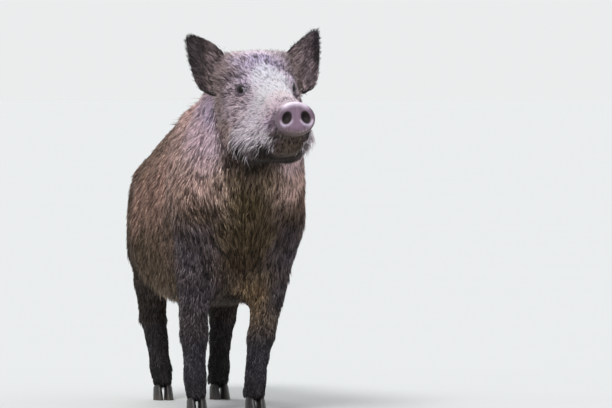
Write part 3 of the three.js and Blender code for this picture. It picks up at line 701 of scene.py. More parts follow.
@dataclass(frozen=True)
class Ears:
    """The ears: their root and tip in the head's frame, and the colours of their two faces, with painted
    light on her left ear's inner face.
    """

    root: tuple = (100, 72, 15)
    tip: tuple = (158, 108, 146)
    back: tuple = (50, 43, 43)
    inner: tuple = (66, 56, 57)
    # Her left ear's inner face is paler than her right's: painted light, as that ear faces more of the
    # light.
    inner_left_painted_light: tuple = (106, 92, 95)
    rim: tuple = (40, 34, 38)
    tan: tuple = (134, 117, 117)

    def along(self, local: Array) -> Array:
        """How far along its ear each point lies.

        Args:
            local: points in the head's frame.

        Returns:
            0 at the ear's root and 1 at its tip.
        """
        root, tip = np.array(self.root, float), np.array(self.tip, float)
        folded = local * np.where(local[:, :1] < 0, (-1, 1, 1), (1, 1, 1))
        axis = tip - root
        return (folded - root) @ axis / (axis @ axis)

    def axis(self, local: Array) -> Array:
        """Direction from root to tip of the ear that each point lies on, in the head's frame."""
        axis = unit(np.array(self.tip, float) - np.array(self.root, float))
        return np.where(local[:, :1] < 0, axis * (-1, 1, 1), axis)

    def tone(self, local: Array, normals: Array) -> Array:
        """Colour of the ears.

        Args:
            local: points in the head's frame.
            normals: their normals in the same frame.

        Returns:
            Colours of 0 to 255 a channel.
        """
        along = self.along(local)
        front = ease(-0.2, 0.3, -normals[:, 1])[:, None]
        folded = np.abs(local[:, 0])
        inward = ease(125, 88, folded) * ease(0.75, 0.15, along)
        # Her left ear takes the paler inner tone: painted light.
        plain = np.where(local[:, :1] > 0, self.inner_left_painted_light, self.inner)
        inside = plain + (np.array(self.tan) - plain) * inward[:, None]
        colour = np.array(self.back) + (inside - self.back) * front
        edge = ease(132, 156, folded) * ease(0.2, 0.5, along)
        far = np.maximum(ease(0.62, 1.02, along), edge * 0.8)[:, None]
        return colour + (np.array(self.rim) - colour) * far


EARS = Ears()


def mix(a: Array, b: Array, share: Array) -> Array:
    """Between two values, row by row."""
    return a + (b - a) * share[:, None]


@dataclass(frozen=True)
class Markings:
    """The one set of markings that skin and coat share, with painted shade and a painted highlight on the
    snout disc.
    """

    disc: tuple = (112, 90, 108)
    # Darker towards the bottom and the sides of the disc: partly its own darker skin, partly painted shade
    # where it turns from the light.
    disc_low: tuple = (84, 66, 67)
    disc_side: tuple = (100, 80, 92)
    # A painted highlight along the top of the disc's raised rim.
    disc_rim_highlight: tuple = (222, 204, 222)
    disc_middle: tuple = (125, 100, 120)
    # The nostrils' openings are painted dark: painted shade of holes that the skin only hollows a little.
    nostril: tuple = (36, 25, 27)
    nostril_edge: tuple = (188, 171, 192)
    lid_under: tuple = (96, 82, 92)
    lip: tuple = (38, 29, 28)

    def tones(self, points: Array, normals: Array, parts: Array) -> Array:
        """The coat's colour at these points.

        Args:
            points: places in the row frame.
            normals: outward unit normals.
            parts: the Part of each.

        Returns:
            Linear colours.
        """
        local = HEAD_FRAME.inside(points)
        colour = mix(BODY_TONES.at(points / MM), HEAD_TONES.at(local), HEAD_FRAME.share(points))
        ear = parts == Part.EAR
        if ear.any():
            colour[ear] = EARS.tone(local[ear], normals[ear] @ HEAD_FRAME.axes.T)
        disc = parts == Part.DISC
        if disc.any():
            # Darker towards the bottom and the sides: partly darker skin, partly painted shade.
            low = ease(-92, -116, local[disc, 2])
            side = ease(30, 46, np.abs(local[disc, 0]))
            tone = mix(np.array(self.disc), np.array(self.disc_side), side)
            colour[disc] = mix(tone, np.array(self.disc_low), low)
        return linear(colour)


MARKINGS = Markings()
# Tufts shade each other, so their own colours are lighter than the coat that they make.
GAIN = 1.36
HEAD_GAIN = 1.72
# A patch's own colour is lightened less, and covers so much of the markings.
PAINT_GAIN = 1.2
PAINT_SHARE = 0.85
# The darkest and palest that any part of a tuft may be.
DARKEST = 0.004
PALEST = 0.93


# ---- Shader maths ----


class Node:
    """Makes the nodes of one material."""

    def __init__(self, tree: bpy.types.NodeTree) -> None:
        """Keeps the tree to add nodes to."""
        self.tree = tree

    def make(self, kind: str, sockets: dict | None = None, **settings: object) -> bpy.types.Node:
        """Adds a node.

        Args:
            kind: the node's type.
            sockets: values or links, by the socket's name or number.
            settings: the node's own settings, set before its sockets; stops sets a ramp's stops.

        Returns:
            The node.
        """
        node = self.tree.nodes.new(kind)
        stops = settings.pop("stops", None)
        for key, value in settings.items():
            setattr(node, key, value)
        if stops:
            ramp = node.color_ramp
            while len(ramp.elements) < len(stops):
                ramp.elements.new(0.5)
            for element, (at, colour) in zip(ramp.elements, stops):
                element.position = at
                element.color = (*colour, 1)
        for key, value in (sockets or {}).items():
            self.feed(node.inputs[key], value)
        return node

    def feed(self, socket: bpy.types.NodeSocket, value: object) -> None:
        """Sets a socket, or links it.

        Args:
            socket: the input to feed.
            value: a constant, or the output to link.
        """
        if isinstance(value, Wire):
            self.tree.links.new(value.socket, socket)
        elif isinstance(value, bpy.types.NodeSocket):
            self.tree.links.new(value, socket)
        else:
            socket.default_value = value

    def wire(
        self, kind: str, output: str | int = 0, sockets: dict | None = None, **settings: object
    ) -> "Wire":
        """One output of a new node, to reckon with."""
        return Wire(self, self.make(kind, sockets, **settings).outputs[output])

    def attribute(self, name: str, output: str) -> "Wire":
        """A value that the mesh carries."""
        return self.wire("ShaderNodeAttribute", output, attribute_name=name)

    def noise(self, size: float, detail: float, rough: float) -> "Wire":
        """Noise on object coordinates.

        Args:
            size: about how large its spots are, in metres.
            detail: how many finer noises are laid over it.
            rough: how strong they are.

        Returns:
            Its values of about 0 to 1.
        """
        place = self.wire("ShaderNodeTexCoord", "Object")
        sockets = {"Vector": place, "Scale": 1 / size, "Detail": detail, "Roughness": rough}
        return self.wire("ShaderNodeTexNoise", "Fac", sockets)

    def tinted(self, colour: Sequence[float], other: Sequence[float], share: "Wire") -> "Wire":
        """A linear colour mixed with another."""
        sockets = {0: share, 6: (*colour, 1), 7: (*other, 1)}
        return self.wire("ShaderNodeMix", 2, sockets, data_type="RGBA")

    def bump(self, height: "Wire", depth: float, strength: float) -> "Wire":
        """A normal bent by a height of about 0 to 1, which stands out by so many metres at 1."""
        return self.wire("ShaderNodeBump", 0, {"Height": height, "Distance": depth, "Strength": strength})

    def shaded(self, colour: "Wire | Sequence[float]", factor: "Wire") -> "Wire":
        """A linear colour made darker or lighter by a number."""
        return self.wire("ShaderNodeVectorMath", 0, {0: colour, "Scale": factor}, operation="SCALE")


@dataclass
class Wire:
    """A socket's value in shader maths."""

    node: Node
    socket: bpy.types.NodeSocket

    def maths(self, operation: str, a: object, b: object) -> "Wire":
        """A Math node on two values."""
        return self.node.wire("ShaderNodeMath", 0, {0: a, 1: b}, operation=operation)

    def __add__(self, other: object) -> "Wire":
        """Sum."""
        return self.maths("ADD", self, other)

    __radd__ = __add__

    def __mul__(self, other: object) -> "Wire":
        """Product."""
        return self.maths("MULTIPLY", self, other)

    __rmul__ = __mul__

    def __sub__(self, other: object) -> "Wire":
        """Difference."""
        return self.maths("SUBTRACT", self, other)

    def __rsub__(self, other: object) -> "Wire":
        """Difference, the other way round."""
        return self.maths("SUBTRACT", other, self)

    def clipped(self, low: float, high: float) -> "Wire":
        """0 up to low, 1 from high on, and a straight rise between."""
        sockets = {"Value": self, "From Min": low, "From Max": high}
        return self.node.wire("ShaderNodeMapRange", 0, sockets, clamp=True)


@dataclass(frozen=True)
class Finish:
    """A material with one Principled shader; each finish says what goes into its sockets."""

    name: str

    def sockets(self, node: Node) -> dict:
        """What goes into the shader.

        Args:
            node: makes the material's nodes.

        Returns:
            A value or a link for each socket's name.
        """
        raise NotImplementedError

    def make(self) -> bpy.types.Material:
        """The material."""
        made = bpy.data.materials.new(self.name)
        made.use_nodes = True
        made.node_tree.nodes.clear()
        node = Node(made.node_tree)
        shader = node.wire("ShaderNodeBsdfPrincipled", 0, self.sockets(node))
        node.make("ShaderNodeOutputMaterial", {"Surface": shader})
        return made


@dataclass(frozen=True)
class SkinFinish(Finish):
    """Skin under the coat: matt hide with pores, and moist bare skin on the snout."""

    name: str = "boar_skin"
    pore: float = 0.0012
    grain: float = 0.006
    cell: float = 0.0026
    dry: float = 0.78
    moist: float = 0.36
    depth: float = 0.0009

    def sockets(self, node: Node) -> dict:
        """What goes into the shader.

        Args:
            node: makes the material's nodes.

        Returns:
            The skin's tone, mottled, with its gloss and its relief.
        """
        moist = node.attribute("moist", "Fac")
        mottle = node.noise(self.grain, 4.0, 0.6)
        pores = node.noise(self.pore, 2.0, 0.5)
        place = node.wire("ShaderNodeTexCoord", "Object")
        cells = node.wire("ShaderNodeTexVoronoi", "Distance", {"Vector": place, "Scale": 1 / self.cell})
        rough = self.dry - moist * (self.dry - self.moist) + (pores - 0.5) * 0.12
        height = mottle * 0.4 + pores * 0.5 + cells * moist * 0.8
        return {
            "Base Color": node.shaded(node.attribute("coat", "Color"), 0.72 + mottle * 0.56),
            "Roughness": rough,
            "Normal": node.bump(height, self.depth, 0.8),
        }


@dataclass(frozen=True)
class BristleFinish(Finish):
    """Bristles: banded along their length by the colours that they carry, with a dull sheen."""

    name: str = "boar_bristle"
    roughness: float = 0.62
    fleck: float = 0.004
    shine: float = 0.14

    def sockets(self, node: Node) -> dict:
        """What goes into the shader.

        Args:
            node: makes the material's nodes.

        Returns:
            The bristles' tone, a little uneven, and their sheen.
        """
        fleck = node.noise(self.fleck, 2.0, 0.6)
        return {
            "Base Color": node.shaded(node.attribute("coat", "Color"), 0.8 + fleck * 0.4),
            "Roughness": self.roughness + (fleck - 0.5) * 0.2,
            "Specular IOR Level": self.shine,
        }


@dataclass(frozen=True)
class EyeFinish(Finish):
    """A wet dark-brown eye: pupil, iris with spokes, dark ring and a rim of white.

    The edges say how far round the ball pupil, iris and ring end and the next begins.
    """

    name: str = "boar_eye"
    pupil: tuple = (0.004, 0.003, 0.003)
    iris: tuple = (0.012, 0.007, 0.006)
    ring: tuple = (0.006, 0.004, 0.004)
    white: tuple = (0.26, 0.24, 0.28)
    edges: tuple = (0.15, 0.18, 0.25, 0.28, 0.305, 0.34)
    spoke: float = 0.0012
    roughness: float = 0.07
    shine: float = 0.16

    def sockets(self, node: Node) -> dict:
        """What goes into the shader.

        Args:
            node: makes the material's nodes.

        Returns:
            The rings of colour and a wet gloss.
        """
        spokes = node.noise(self.spoke, 3.0, 0.6)
        tones = (self.pupil, self.pupil, self.iris, self.iris, self.ring, self.ring, self.white)
        stops = list(zip((0.0, *self.edges), tones))
        turn = node.attribute("gaze", "Fac")
        rings = node.wire("ShaderNodeValToRGB", "Color", {"Fac": turn}, stops=stops)
        return {
            "Base Color": node.shaded(rings, 0.6 + spokes * 0.8),
            "Roughness": self.roughness,
            "Specular IOR Level": self.shine,
        }


@dataclass(frozen=True)
class HornFinish(Finish):
    """Claw horn: near black, with growth rings, scuffed and paler towards the floor."""

    name: str = "boar_claw_horn"
    dark: tuple = (0.016, 0.013, 0.012)
    worn: tuple = (0.06, 0.047, 0.038)
    worn_height: float = 0.016
    ring_pitch: tuple = (30, 30, 520)
    depth: float = 0.0008

    def sockets(self, node: Node) -> dict:
        """What goes into the shader.

        Args:
            node: makes the material's nodes.

        Returns:
            The horn's tone, its gloss and its rings.
        """
        place = node.wire("ShaderNodeTexCoord", "Object")
        height = node.wire("ShaderNodeSeparateXYZ", "Z", {0: place})
        scuff = node.noise(0.004, 5.0, 0.7)
        low = 1 - (height + (scuff - 0.5) * 0.014).clipped(0.0, self.worn_height)
        pitched = {0: place, 1: self.ring_pitch}
        stretched = node.wire("ShaderNodeVectorMath", 0, pitched, operation="MULTIPLY")
        rings = node.wire("ShaderNodeTexNoise", "Fac", {"Vector": stretched, "Scale": 1.0})
        return {
            "Base Color": node.shaded(node.tinted(self.dark, self.worn, low * 0.8), 0.7 + scuff * 0.6),
            "Roughness": 0.42 + low * 0.3 + (scuff - 0.5) * 0.2,
            "Normal": node.bump(rings * 0.7 + scuff * 0.3, self.depth, 0.6),
        }


# ---- Skin ----


def by_part(size: str, parts: Array) -> Array:
    """One of the sizes of Flesh for each of these Parts."""
    return np.array([getattr(FLESH[part], size) for part in Part], float)[parts]


def ring_faces(rings: int, around: int) -> Array:
    """Triangles between closed rings of vertices, which follow each other.

    Args:
        rings: how many rings there are.
        around: how many vertices each has.

    Returns:
        The triangles.
    """
    faces = []
    for ring in range(rings - 1):
        for n in range(around):
            a, b = ring * around + n, ring * around + (n + 1) % around
            faces += [(a, a + around, b + around), (a, b + around, b)]
    return np.array(faces)


def eye_distance(points: Array) -> Array:
    """Millimetres to the middle of the nearer eye."""
    return np.minimum(*[np.linalg.norm(points - box_middle(node), axis=1) for node, _ in EYES]) / MM


@dataclass(frozen=True)
class Mouth:
    """The closed line of the mouth: its corner in the head's frame, and its slope in degrees."""

    corner_y: float = -34.0
    corner_z: float = -121.0
    slope: float = -4.0

    def over(self, local: Array) -> Array:
        """How far in millimetres each point of the head's frame lies above the line."""
        run = local[:, 1] - self.corner_y
        return local[:, 2] - (self.corner_z - run * math.tan(math.radians(self.slope)))


@dataclass(frozen=True)
class Disc:
    """The snout disc's face and its nostrils, in millimetres of the head's frame."""

    middle_z: float = -80.0
    half_wide: float = 48.0
    half_high: float = 40.0
    nostril_x: float = 22.5
    nostril_z: float = -77.0
    nostril_wide: float = 10.0
    nostril_high: float = 12.5
    lean: float = 0.25

    def reach(self, local: Array) -> Array:
        """How far out each point lies, 0 at the disc's middle and 1 at its edge."""
        return np.hypot(local[:, 0] / self.half_wide, (local[:, 2] - self.middle_z) / self.half_high)

    def nostril(self, local: Array) -> tuple[Array, Array, Array]:
        """Where each point lies from the nearer nostril, with 1 at the nostril's edge.

        Args:
            local: points in the head's frame.

        Returns:
            How far outward, how far up, and how far in all.
        """
        out = (np.abs(local[:, 0]) - self.nostril_x) / self.nostril_wide
        up = (local[:, 2] - self.nostril_z) / self.nostril_high
        return out, up, np.hypot(out + up * self.lean, up)

    def relief(self, local: Array, up: Array, hole: Array) -> Array:
        """The shape of the disc's face.

        Args:
            local: points in the head's frame.
            up: how far above the nearer nostril each lies.
            hole: how far from it each lies.

        Returns:
            How far in millimetres each point stands forward.
        """
        x, z = local[:, 0], local[:, 2]
        reach = self.reach(local)
        # The raised rim, with a shallow ditch inside it.
        high = 1.7 * np.exp(-(((reach - 0.88) / 0.09) ** 2)) - 1.1 * np.exp(-(((reach - 0.68) / 0.09) ** 2))
        # A swollen edge round each nostril, strongest below.
        low_side = 0.15 + 0.85 * ease(0.0, -0.9, up / np.maximum(hole, 0.1))
        high += 2.1 * low_side * np.exp(-(((hole - 1.35) / 0.26) ** 2))
        # The groove between the nostrils, creases under them, and the notch of the upper lip.
        high -= 1.0 * np.exp(-((x / 3.0) ** 2)) * ease(-100, -90, z)
        creases = np.sin(x / 7.5 * 2 * math.pi)
        high += 0.5 * creases * ease(-93, -102, z) * ease(0.95, 0.8, reach)
        high -= 2.2 * np.exp(-((x / 9) ** 2)) * ease(-104, -118, z)
        return high

    def moves(self, surface: Surface, parts: Array) -> Array:
        """How each vertex of the skin moves to shape the disc and its nostrils.

        Args:
            surface: the skin.
            parts: the Part of each vertex.

        Returns:
            Shifts in metres.
        """
        local = HEAD_FRAME.inside(surface.points)
        out, up, hole = self.nostril(local)
        own = parts == Part.DISC
        front = own * ease(0.2, 0.7, -(surface.normals() @ HEAD_FRAME.axes[1]))
        high = self.relief(local, up, hole)
        forward = -HEAD_FRAME.axes[1] * (high * front)[:, None]
        around = own * ease(1.9, 1.1, hole) * (local[:, 1] < -194)
        side = np.sign(local[:, 0]) * (out * self.nostril_wide * 0.16 - up * 1.8)
        wide = np.stack([side, side * 0, up * self.nostril_high * 0.14], 1)
        return forward * MM + HEAD_FRAME.turned(wide) * around[:, None] * MM


MOUTH = Mouth()
DISC = Disc()
EYES = (("eye_left", 1), ("eye_right", -1))
# Rings of the lids, edge first: half width, half height and distance from the eye's middle in millimetres.
LID_RINGS = (
    (11.4, 7.1, 12.55),
    (12.0, 8.0, 13.5),
    (12.8, 9.3, 14.6),
    (13.9, 11.1, 15.5),
    (15.2, 12.9, 15.4),
    (16.3, 14.4, 14.7),
    (17.6, 15.8, 15.5),
)
# Their colours above and below the eye, with the place where they pass under the skin last.
LID_TONES = (
    ((14, 11, 12), (18, 14, 15)),
    ((15, 11, 12), (26, 20, 22)),
    ((17, 13, 15), (48, 38, 42)),
    ((24, 19, 22), (112, 96, 110)),
    ((92, 79, 93), (138, 121, 137)),
    # The ring in the crease round the lids is dark: painted shade in the crease.
    ((20, 15, 18), (84, 71, 82)),
    ((72, 61, 71), (112, 97, 110)),
    ((104, 90, 100), (108, 93, 104)),
)


@dataclass(frozen=True)
class Lids:
    """Both lids of each eye, as rings from the eyeball out under the skin; sizes are in millimetres."""

    around: int = 48
    way: tuple = (0.69, -0.72, 0.06)
    corner: float = 0.3
    low: float = 0.86
    least_rise: float = 2.0
    last_wide: float = 20.5
    last_high: float = 19.0
    ahead: float = 8.0
    sunk: float = 1.2

    def build(self, skin: Surface) -> tuple[Surface, Array]:
        """The lids of both eyes.

        Args:
            skin: the body that they pass under.

        Returns:
            Their surface, and a linear colour for each of its vertices.
        """
        ground = skin.tree()
        angle = np.linspace(0, 2 * math.pi, self.around, endpoint=False)
        wide, high = np.cos(angle), np.sin(angle)
        made = [self.one(node, side, wide, high, ground) for node, side in EYES]
        tones = linear(np.array(LID_TONES, float))
        above, below = tones[:, 0, None], tones[:, 1, None]
        rows = below + (above - below) * ease(0.1, 0.5, high)[None, :, None]
        return joined(made), np.tile(rows.reshape(-1, 3), (len(made), 1))

    def one(self, node: str, side: int, wide: Array, high: Array, ground: BVHTree) -> Surface:
        """The lids of one eye.

        Args:
            node: the eye's CAD node.
            side: 1 for her left, -1 for her right.
            wide: how far across each place round a ring lies, for a ring of radius 1.
            high: how far up each lies.
            ground: the body's search tree.

        Returns:
            Their surface.
        """
        middle = box_middle(node)
        gaze, along, above = HEAD_FRAME.sight(self.way, side)
        almond = (1 - self.corner * np.abs(wide) ** 3) * np.where(high > 0, 1.0, self.low)
        rings = []
        for across, tall, radius in LID_RINGS:
            flat = np.outer(wide * across, along) + np.outer(high * tall * almond, above)
            rise = np.sqrt(np.maximum(radius**2 - (flat**2).sum(1), self.least_rise**2))
            rings.append(middle + (flat + np.outer(rise, gaze)) * MM)
        last = []
        for x, z in zip(wide * self.last_wide, high * self.last_high):
            guess = middle + (along * x + above * z + gaze * self.ahead) * MM
            place, normal, _, _ = ground.find_nearest(Vector(guess))
            last.append(np.array(place) - np.array(normal) * self.sunk * MM)
        rings.append(np.array(last))
        surface = Surface(np.concatenate(rings), ring_faces(len(rings), self.around))
        if (surface.face_normals() @ gaze).sum() < 0:
            surface.faces = surface.faces[:, ::-1]
        return surface


@dataclass
class Skin:
    """The one skin over the whole animal.

    Rounds count how often a value or the mesh itself is evened out. Within eye_reach millimetres of an eye
    the mesh is as fine as on the disc. Once it is built, surface, parts, point_normals, room and
    ground describe its body without the lids.
    """

    voxel: float = 2.8 * MM
    grow: float = 2.0 * MM
    even_rounds: int = 130
    weight_rounds: int = 12
    depth_rounds: int = 45
    fine_rounds: int = 8
    most_faces: int = 150000
    coarser: float = 4.0
    eye_reach: float = 24.0
    mound_reach: float = 15.5 * MM
    mound_share: float = 0.85
    mound_rise: float = 6 * MM

    def __post_init__(self) -> None:
        """Makes a search tree of the CAD nodes of flesh, and notes the part of each of its triangles."""
        surfaces = [surface_of(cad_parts[node].data, merge=True) for node in FLESH_NODES]
        parts = [np.full(len(s.faces), part_of(node)) for s, node in zip(surfaces, FLESH_NODES)]
        self.solids = surfaces
        self.search = joined(surfaces).tree()
        self.face_parts = np.concatenate(parts)

    def parts_at(self, points: Array) -> Array:
        """The Part nearest to each point."""
        find, parts = self.search.find_nearest, self.face_parts
        return np.array([parts[find(p)[2]] for p in points.tolist()])

    def merged(self) -> Surface:
        """All the flesh as one closed body: each solid grown to close the gaps, then remeshed finely."""
        grown = [Surface(solid.points + solid.normals() * self.grow, solid.faces) for solid in self.solids]
        made = object_of("flesh", mesh_of("flesh", joined(grown)))
        remesh = made.modifiers.new("remesh", "REMESH")
        remesh.mode = "VOXEL"
        remesh.voxel_size = self.voxel
        return surface_of(applied(made))

    def evened(self, surface: Surface, parts: Array) -> Surface:
        """Smooths the facets away, strongly on the trunk and hardly on ears and snout.

        Args:
            surface: the merged flesh.
            parts: the Part of each vertex.

        Returns:
            The smooth body.
        """
        made = object_of("flesh", mesh_of("flesh", surface))
        weigh(made, "even", surface.spread(by_part("even", parts), self.weight_rounds))
        smooth = made.modifiers.new("even", "SMOOTH")
        smooth.factor = 0.5
        smooth.iterations = self.even_rounds
        smooth.vertex_group = "even"
        return surface_of(applied(made))

    def coat_depth(self, surface: Surface, normals: Array, parts: Array) -> Array:
        """How deep the coat is.

        Args:
            surface: the body.
            normals: its normals.
            parts: the Part of each vertex.

        Returns:
            Metres over each vertex.
        """
        points = surface.points
        height, back = points[:, 2], HEAD_FRAME.inside(points)[:, 1]
        depth = by_part("coat_mm", parts)
        # Deeper on the crest and the belly, and up the legs.
        crest = ease(0.55, 0.95, normals[:, 2]) * ease(0.35, -0.05, points[:, 1])
        belly = ease(-0.2, -0.8, normals[:, 2]) * (height < 0.34)
        depth += np.isin(parts, TRUNK) * (crest * 14 + belly * 6)
        depth = np.where(np.isin(parts, LEGS), 3 + 8 * ease(0.14, 0.34, height), depth)
        # Deeper on the jowls and behind the cheeks, thin at the feet, deeper on the tail's tassel.
        jowl = bump_at(HEAD_FRAME.folded(points), (55, -20, -145), (30, 60, 22))
        depth += np.isin(parts, HEADS) * (jowl * 9 + ease(50, 105, back) * 8)
        foot = ease(0.09, 0.035, height)
        depth *= 1 - 0.7 * foot
        tassel = (parts == Part.TAIL) * ease(0.46, 0.4, height)
        depth += tassel * 3
        return surface.spread(depth, self.depth_rounds) * MM

    def face_relief(self, points: Array) -> Array:
        """Folds and grooves of the face.

        Args:
            points: places on the skin.

        Returns:
            How far in millimetres each moves out.
        """
        local = HEAD_FRAME.folded(points)
        x, y, z = local.T
        # The line of the mouth, and the swell of the upper lip over it.
        over = MOUTH.over(local)
        mouth = ease(-30, -52, y) * ease(-205, -192, y) * (x > 14)
        relief = -4.2 * mouth * np.exp(-0.5 * (over / 2.6) ** 2)
        relief += 1.6 * mouth * np.exp(-0.5 * ((over - 8) / 5) ** 2)
        # Wrinkles over the end of the muzzle, and beside the disc.
        bridge = ease(-125, -150, y) * ease(-188, -176, y) * ease(40, 20, x)
        relief += 0.9 * bridge * (z > -70) * np.sin(y / 10.5 * 2 * math.pi)
        beside = bump_at(local, (44, -176, -72), (14, 9, 26))
        relief += 1.0 * beside * np.sin((y + z * 0.3) / 9 * 2 * math.pi)
        # The fold under the eye.
        under_eye = np.hypot((y + 6) / 24, (z + 17) / 5)
        return relief - 1.2 * (x > 42) * np.exp(-(under_eye**2))

    def mounded(self, points: Array) -> Array:
        """The skin drawn out to the root of each dewclaw.

        Args:
            points: the skin's vertices.

        Returns:
            Their new places.
        """
        for node in DEWCLAWS:
            away = box_middle(node) + (0, 0, self.mound_rise) - points
            share = self.mound_share * np.exp(-((np.linalg.norm(away, axis=1) / self.mound_reach) ** 2))
            points = points + away * share[:, None]
        return points

    def thinned(self, surface: Surface, parts: Array) -> Surface:
        """The body with fewer triangles, most of them kept on the head.

        Args:
            surface: the fine body.
            parts: the Part of each vertex.

        Returns:
            The lighter body.
        """
        made = object_of("skin", mesh_of("skin", surface))
        weigh(made, "coarse", 1 - surface.spread(by_part("fine", parts), self.fine_rounds))
        thin = made.modifiers.new("thin", "DECIMATE")
        thin.ratio = min(1.0, self.most_faces / len(surface.faces))
        thin.vertex_group = "coarse"
        thin.vertex_group_factor = self.coarser
        return surface_of(applied(made))

    def build(self) -> bpy.types.Object:
        """Makes the skin and dresses it."""
        flesh = self.merged()
        LOG.info("flesh merged: %d vertices", len(flesh.points))
        parts = self.parts_at(flesh.points)
        even = self.evened(flesh, parts)
        normals = even.normals()
        inset = self.coat_depth(even, normals, parts) + self.grow
        even.points = self.mounded(even.points - normals * inset[:, None])
        relief = self.face_relief(even.points) * np.isin(parts, HEADS)
        even.points = even.points + even.normals() * relief[:, None] * MM
        body = self.thinned(even, parts)
        close = self.parts_at(body.points) == Part.DISC
        close |= eye_distance(body.points) < self.eye_reach
        body = refined(body, close[body.faces].all(1))
        body.points = body.points + DISC.moves(body, self.parts_at(body.points))
        lids, lid_tones = Lids().build(body)
        self.surface = body
        self.parts = self.parts_at(body.points)
        self.point_normals = body.normals()
        self.room = self.coat_depth(body, self.point_normals, self.parts)
        self.ground = body.tree()
        whole = joined([body, lids])
        mesh = mesh_of("skin", whole)
        self.paint(mesh, whole, lid_tones)
        mesh.materials.append(SkinFinish().make())
        LOG.info("skin: %d triangles", len(whole.faces))
        return object_of("skin", mesh)

    def paint(self, mesh: bpy.types.Mesh, whole: Surface, lid_tones: Array) -> None:
        """Gives the skin its markings, with the painted highlight and shade of the snout disc, and its
        moist places.

        Args:
            mesh: the skin's mesh.
            whole: its surface, body first and lids after.
            lid_tones: linear colours of the lids' vertices.
        """
        parts = np.concatenate([self.parts, np.full(len(lid_tones), Part.HEAD)])
        colour = MARKINGS.tones(whole.points, whole.normals(), parts)
        local = HEAD_FRAME.folded(whole.points)
        y = local[:, 1]
        own, heads = parts == Part.DISC, np.isin(parts, HEADS)
        muzzle = heads * ease(-150, -186, y)
        colour *= np.where(own, 1.0, 0.28 + 0.62 * muzzle)[:, None]
        colour = self.disc_paint(colour, local, own)
        eye = eye_distance(whole.points)
        lid = (1 - own) * (y > -60)
        colour = mix(colour, linear(MARKINGS.lid_under), lid * ease(24, 18, eye) * 0.9)
        lip = np.exp(-0.5 * (MOUTH.over(local) / 3.5) ** 2) * ease(-30, -50, y) * (y > -192)
        colour = mix(colour, linear(MARKINGS.lip), lip * heads * 0.85)
        colour[-len(lid_tones) :] = lid_tones
        colour_attribute(mesh, "coat", colour)
        hole = DISC.nostril(local)[2]
        wet = own * ease(1.0, 1.3, hole) + muzzle * 0.6 + lid * ease(18, 14, eye)
        value_attribute(mesh, "moist", np.clip(wet, 0, 1))

    def disc_paint(self, colour: Array, local: Array, own: Array) -> Array:
        """The colours of the snout disc laid over the markings, with a painted highlight on its rim and
        painted shade in its nostrils.

        Args:
            colour: linear colours so far.
            local: points in the head's frame, her right laid over her left.
            own: which of them lie on the disc.

        Returns:
            The colours.
        """
        x, y, z = local.T
        # A painted highlight along the top of the disc's rim, where the light falls.
        top = ease(-70, -50, z) * ease(40, 20, x)
        rim = own * top * ease(0.62, 0.88, DISC.reach(local))
        colour = mix(colour, linear(MARKINGS.disc_rim_highlight), rim)
        # Pale between the nostrils, and wider below them.
        bridge = ease(11, 4, x - ease(-76, -104, z) * 9)
        bridge = bridge * ease(-52, -64, z) * ease(-112, -100, z)
        colour = mix(colour, linear(MARKINGS.disc_middle), own * bridge * 0.8)
        _, up, hole = DISC.nostril(local)
        edge = np.exp(-(((hole - 1.5) / 0.26) ** 2)) * ease(-0.1, -0.9, up)
        colour = mix(colour, linear(MARKINGS.nostril_edge), own * edge * 0.95)
        # The nostrils' openings: painted shade.
        inside = own * ease(1.28, 1.08, hole) * (y < -190)
        return mix(colour, linear(MARKINGS.nostril), inside)


# ---- Coat ----


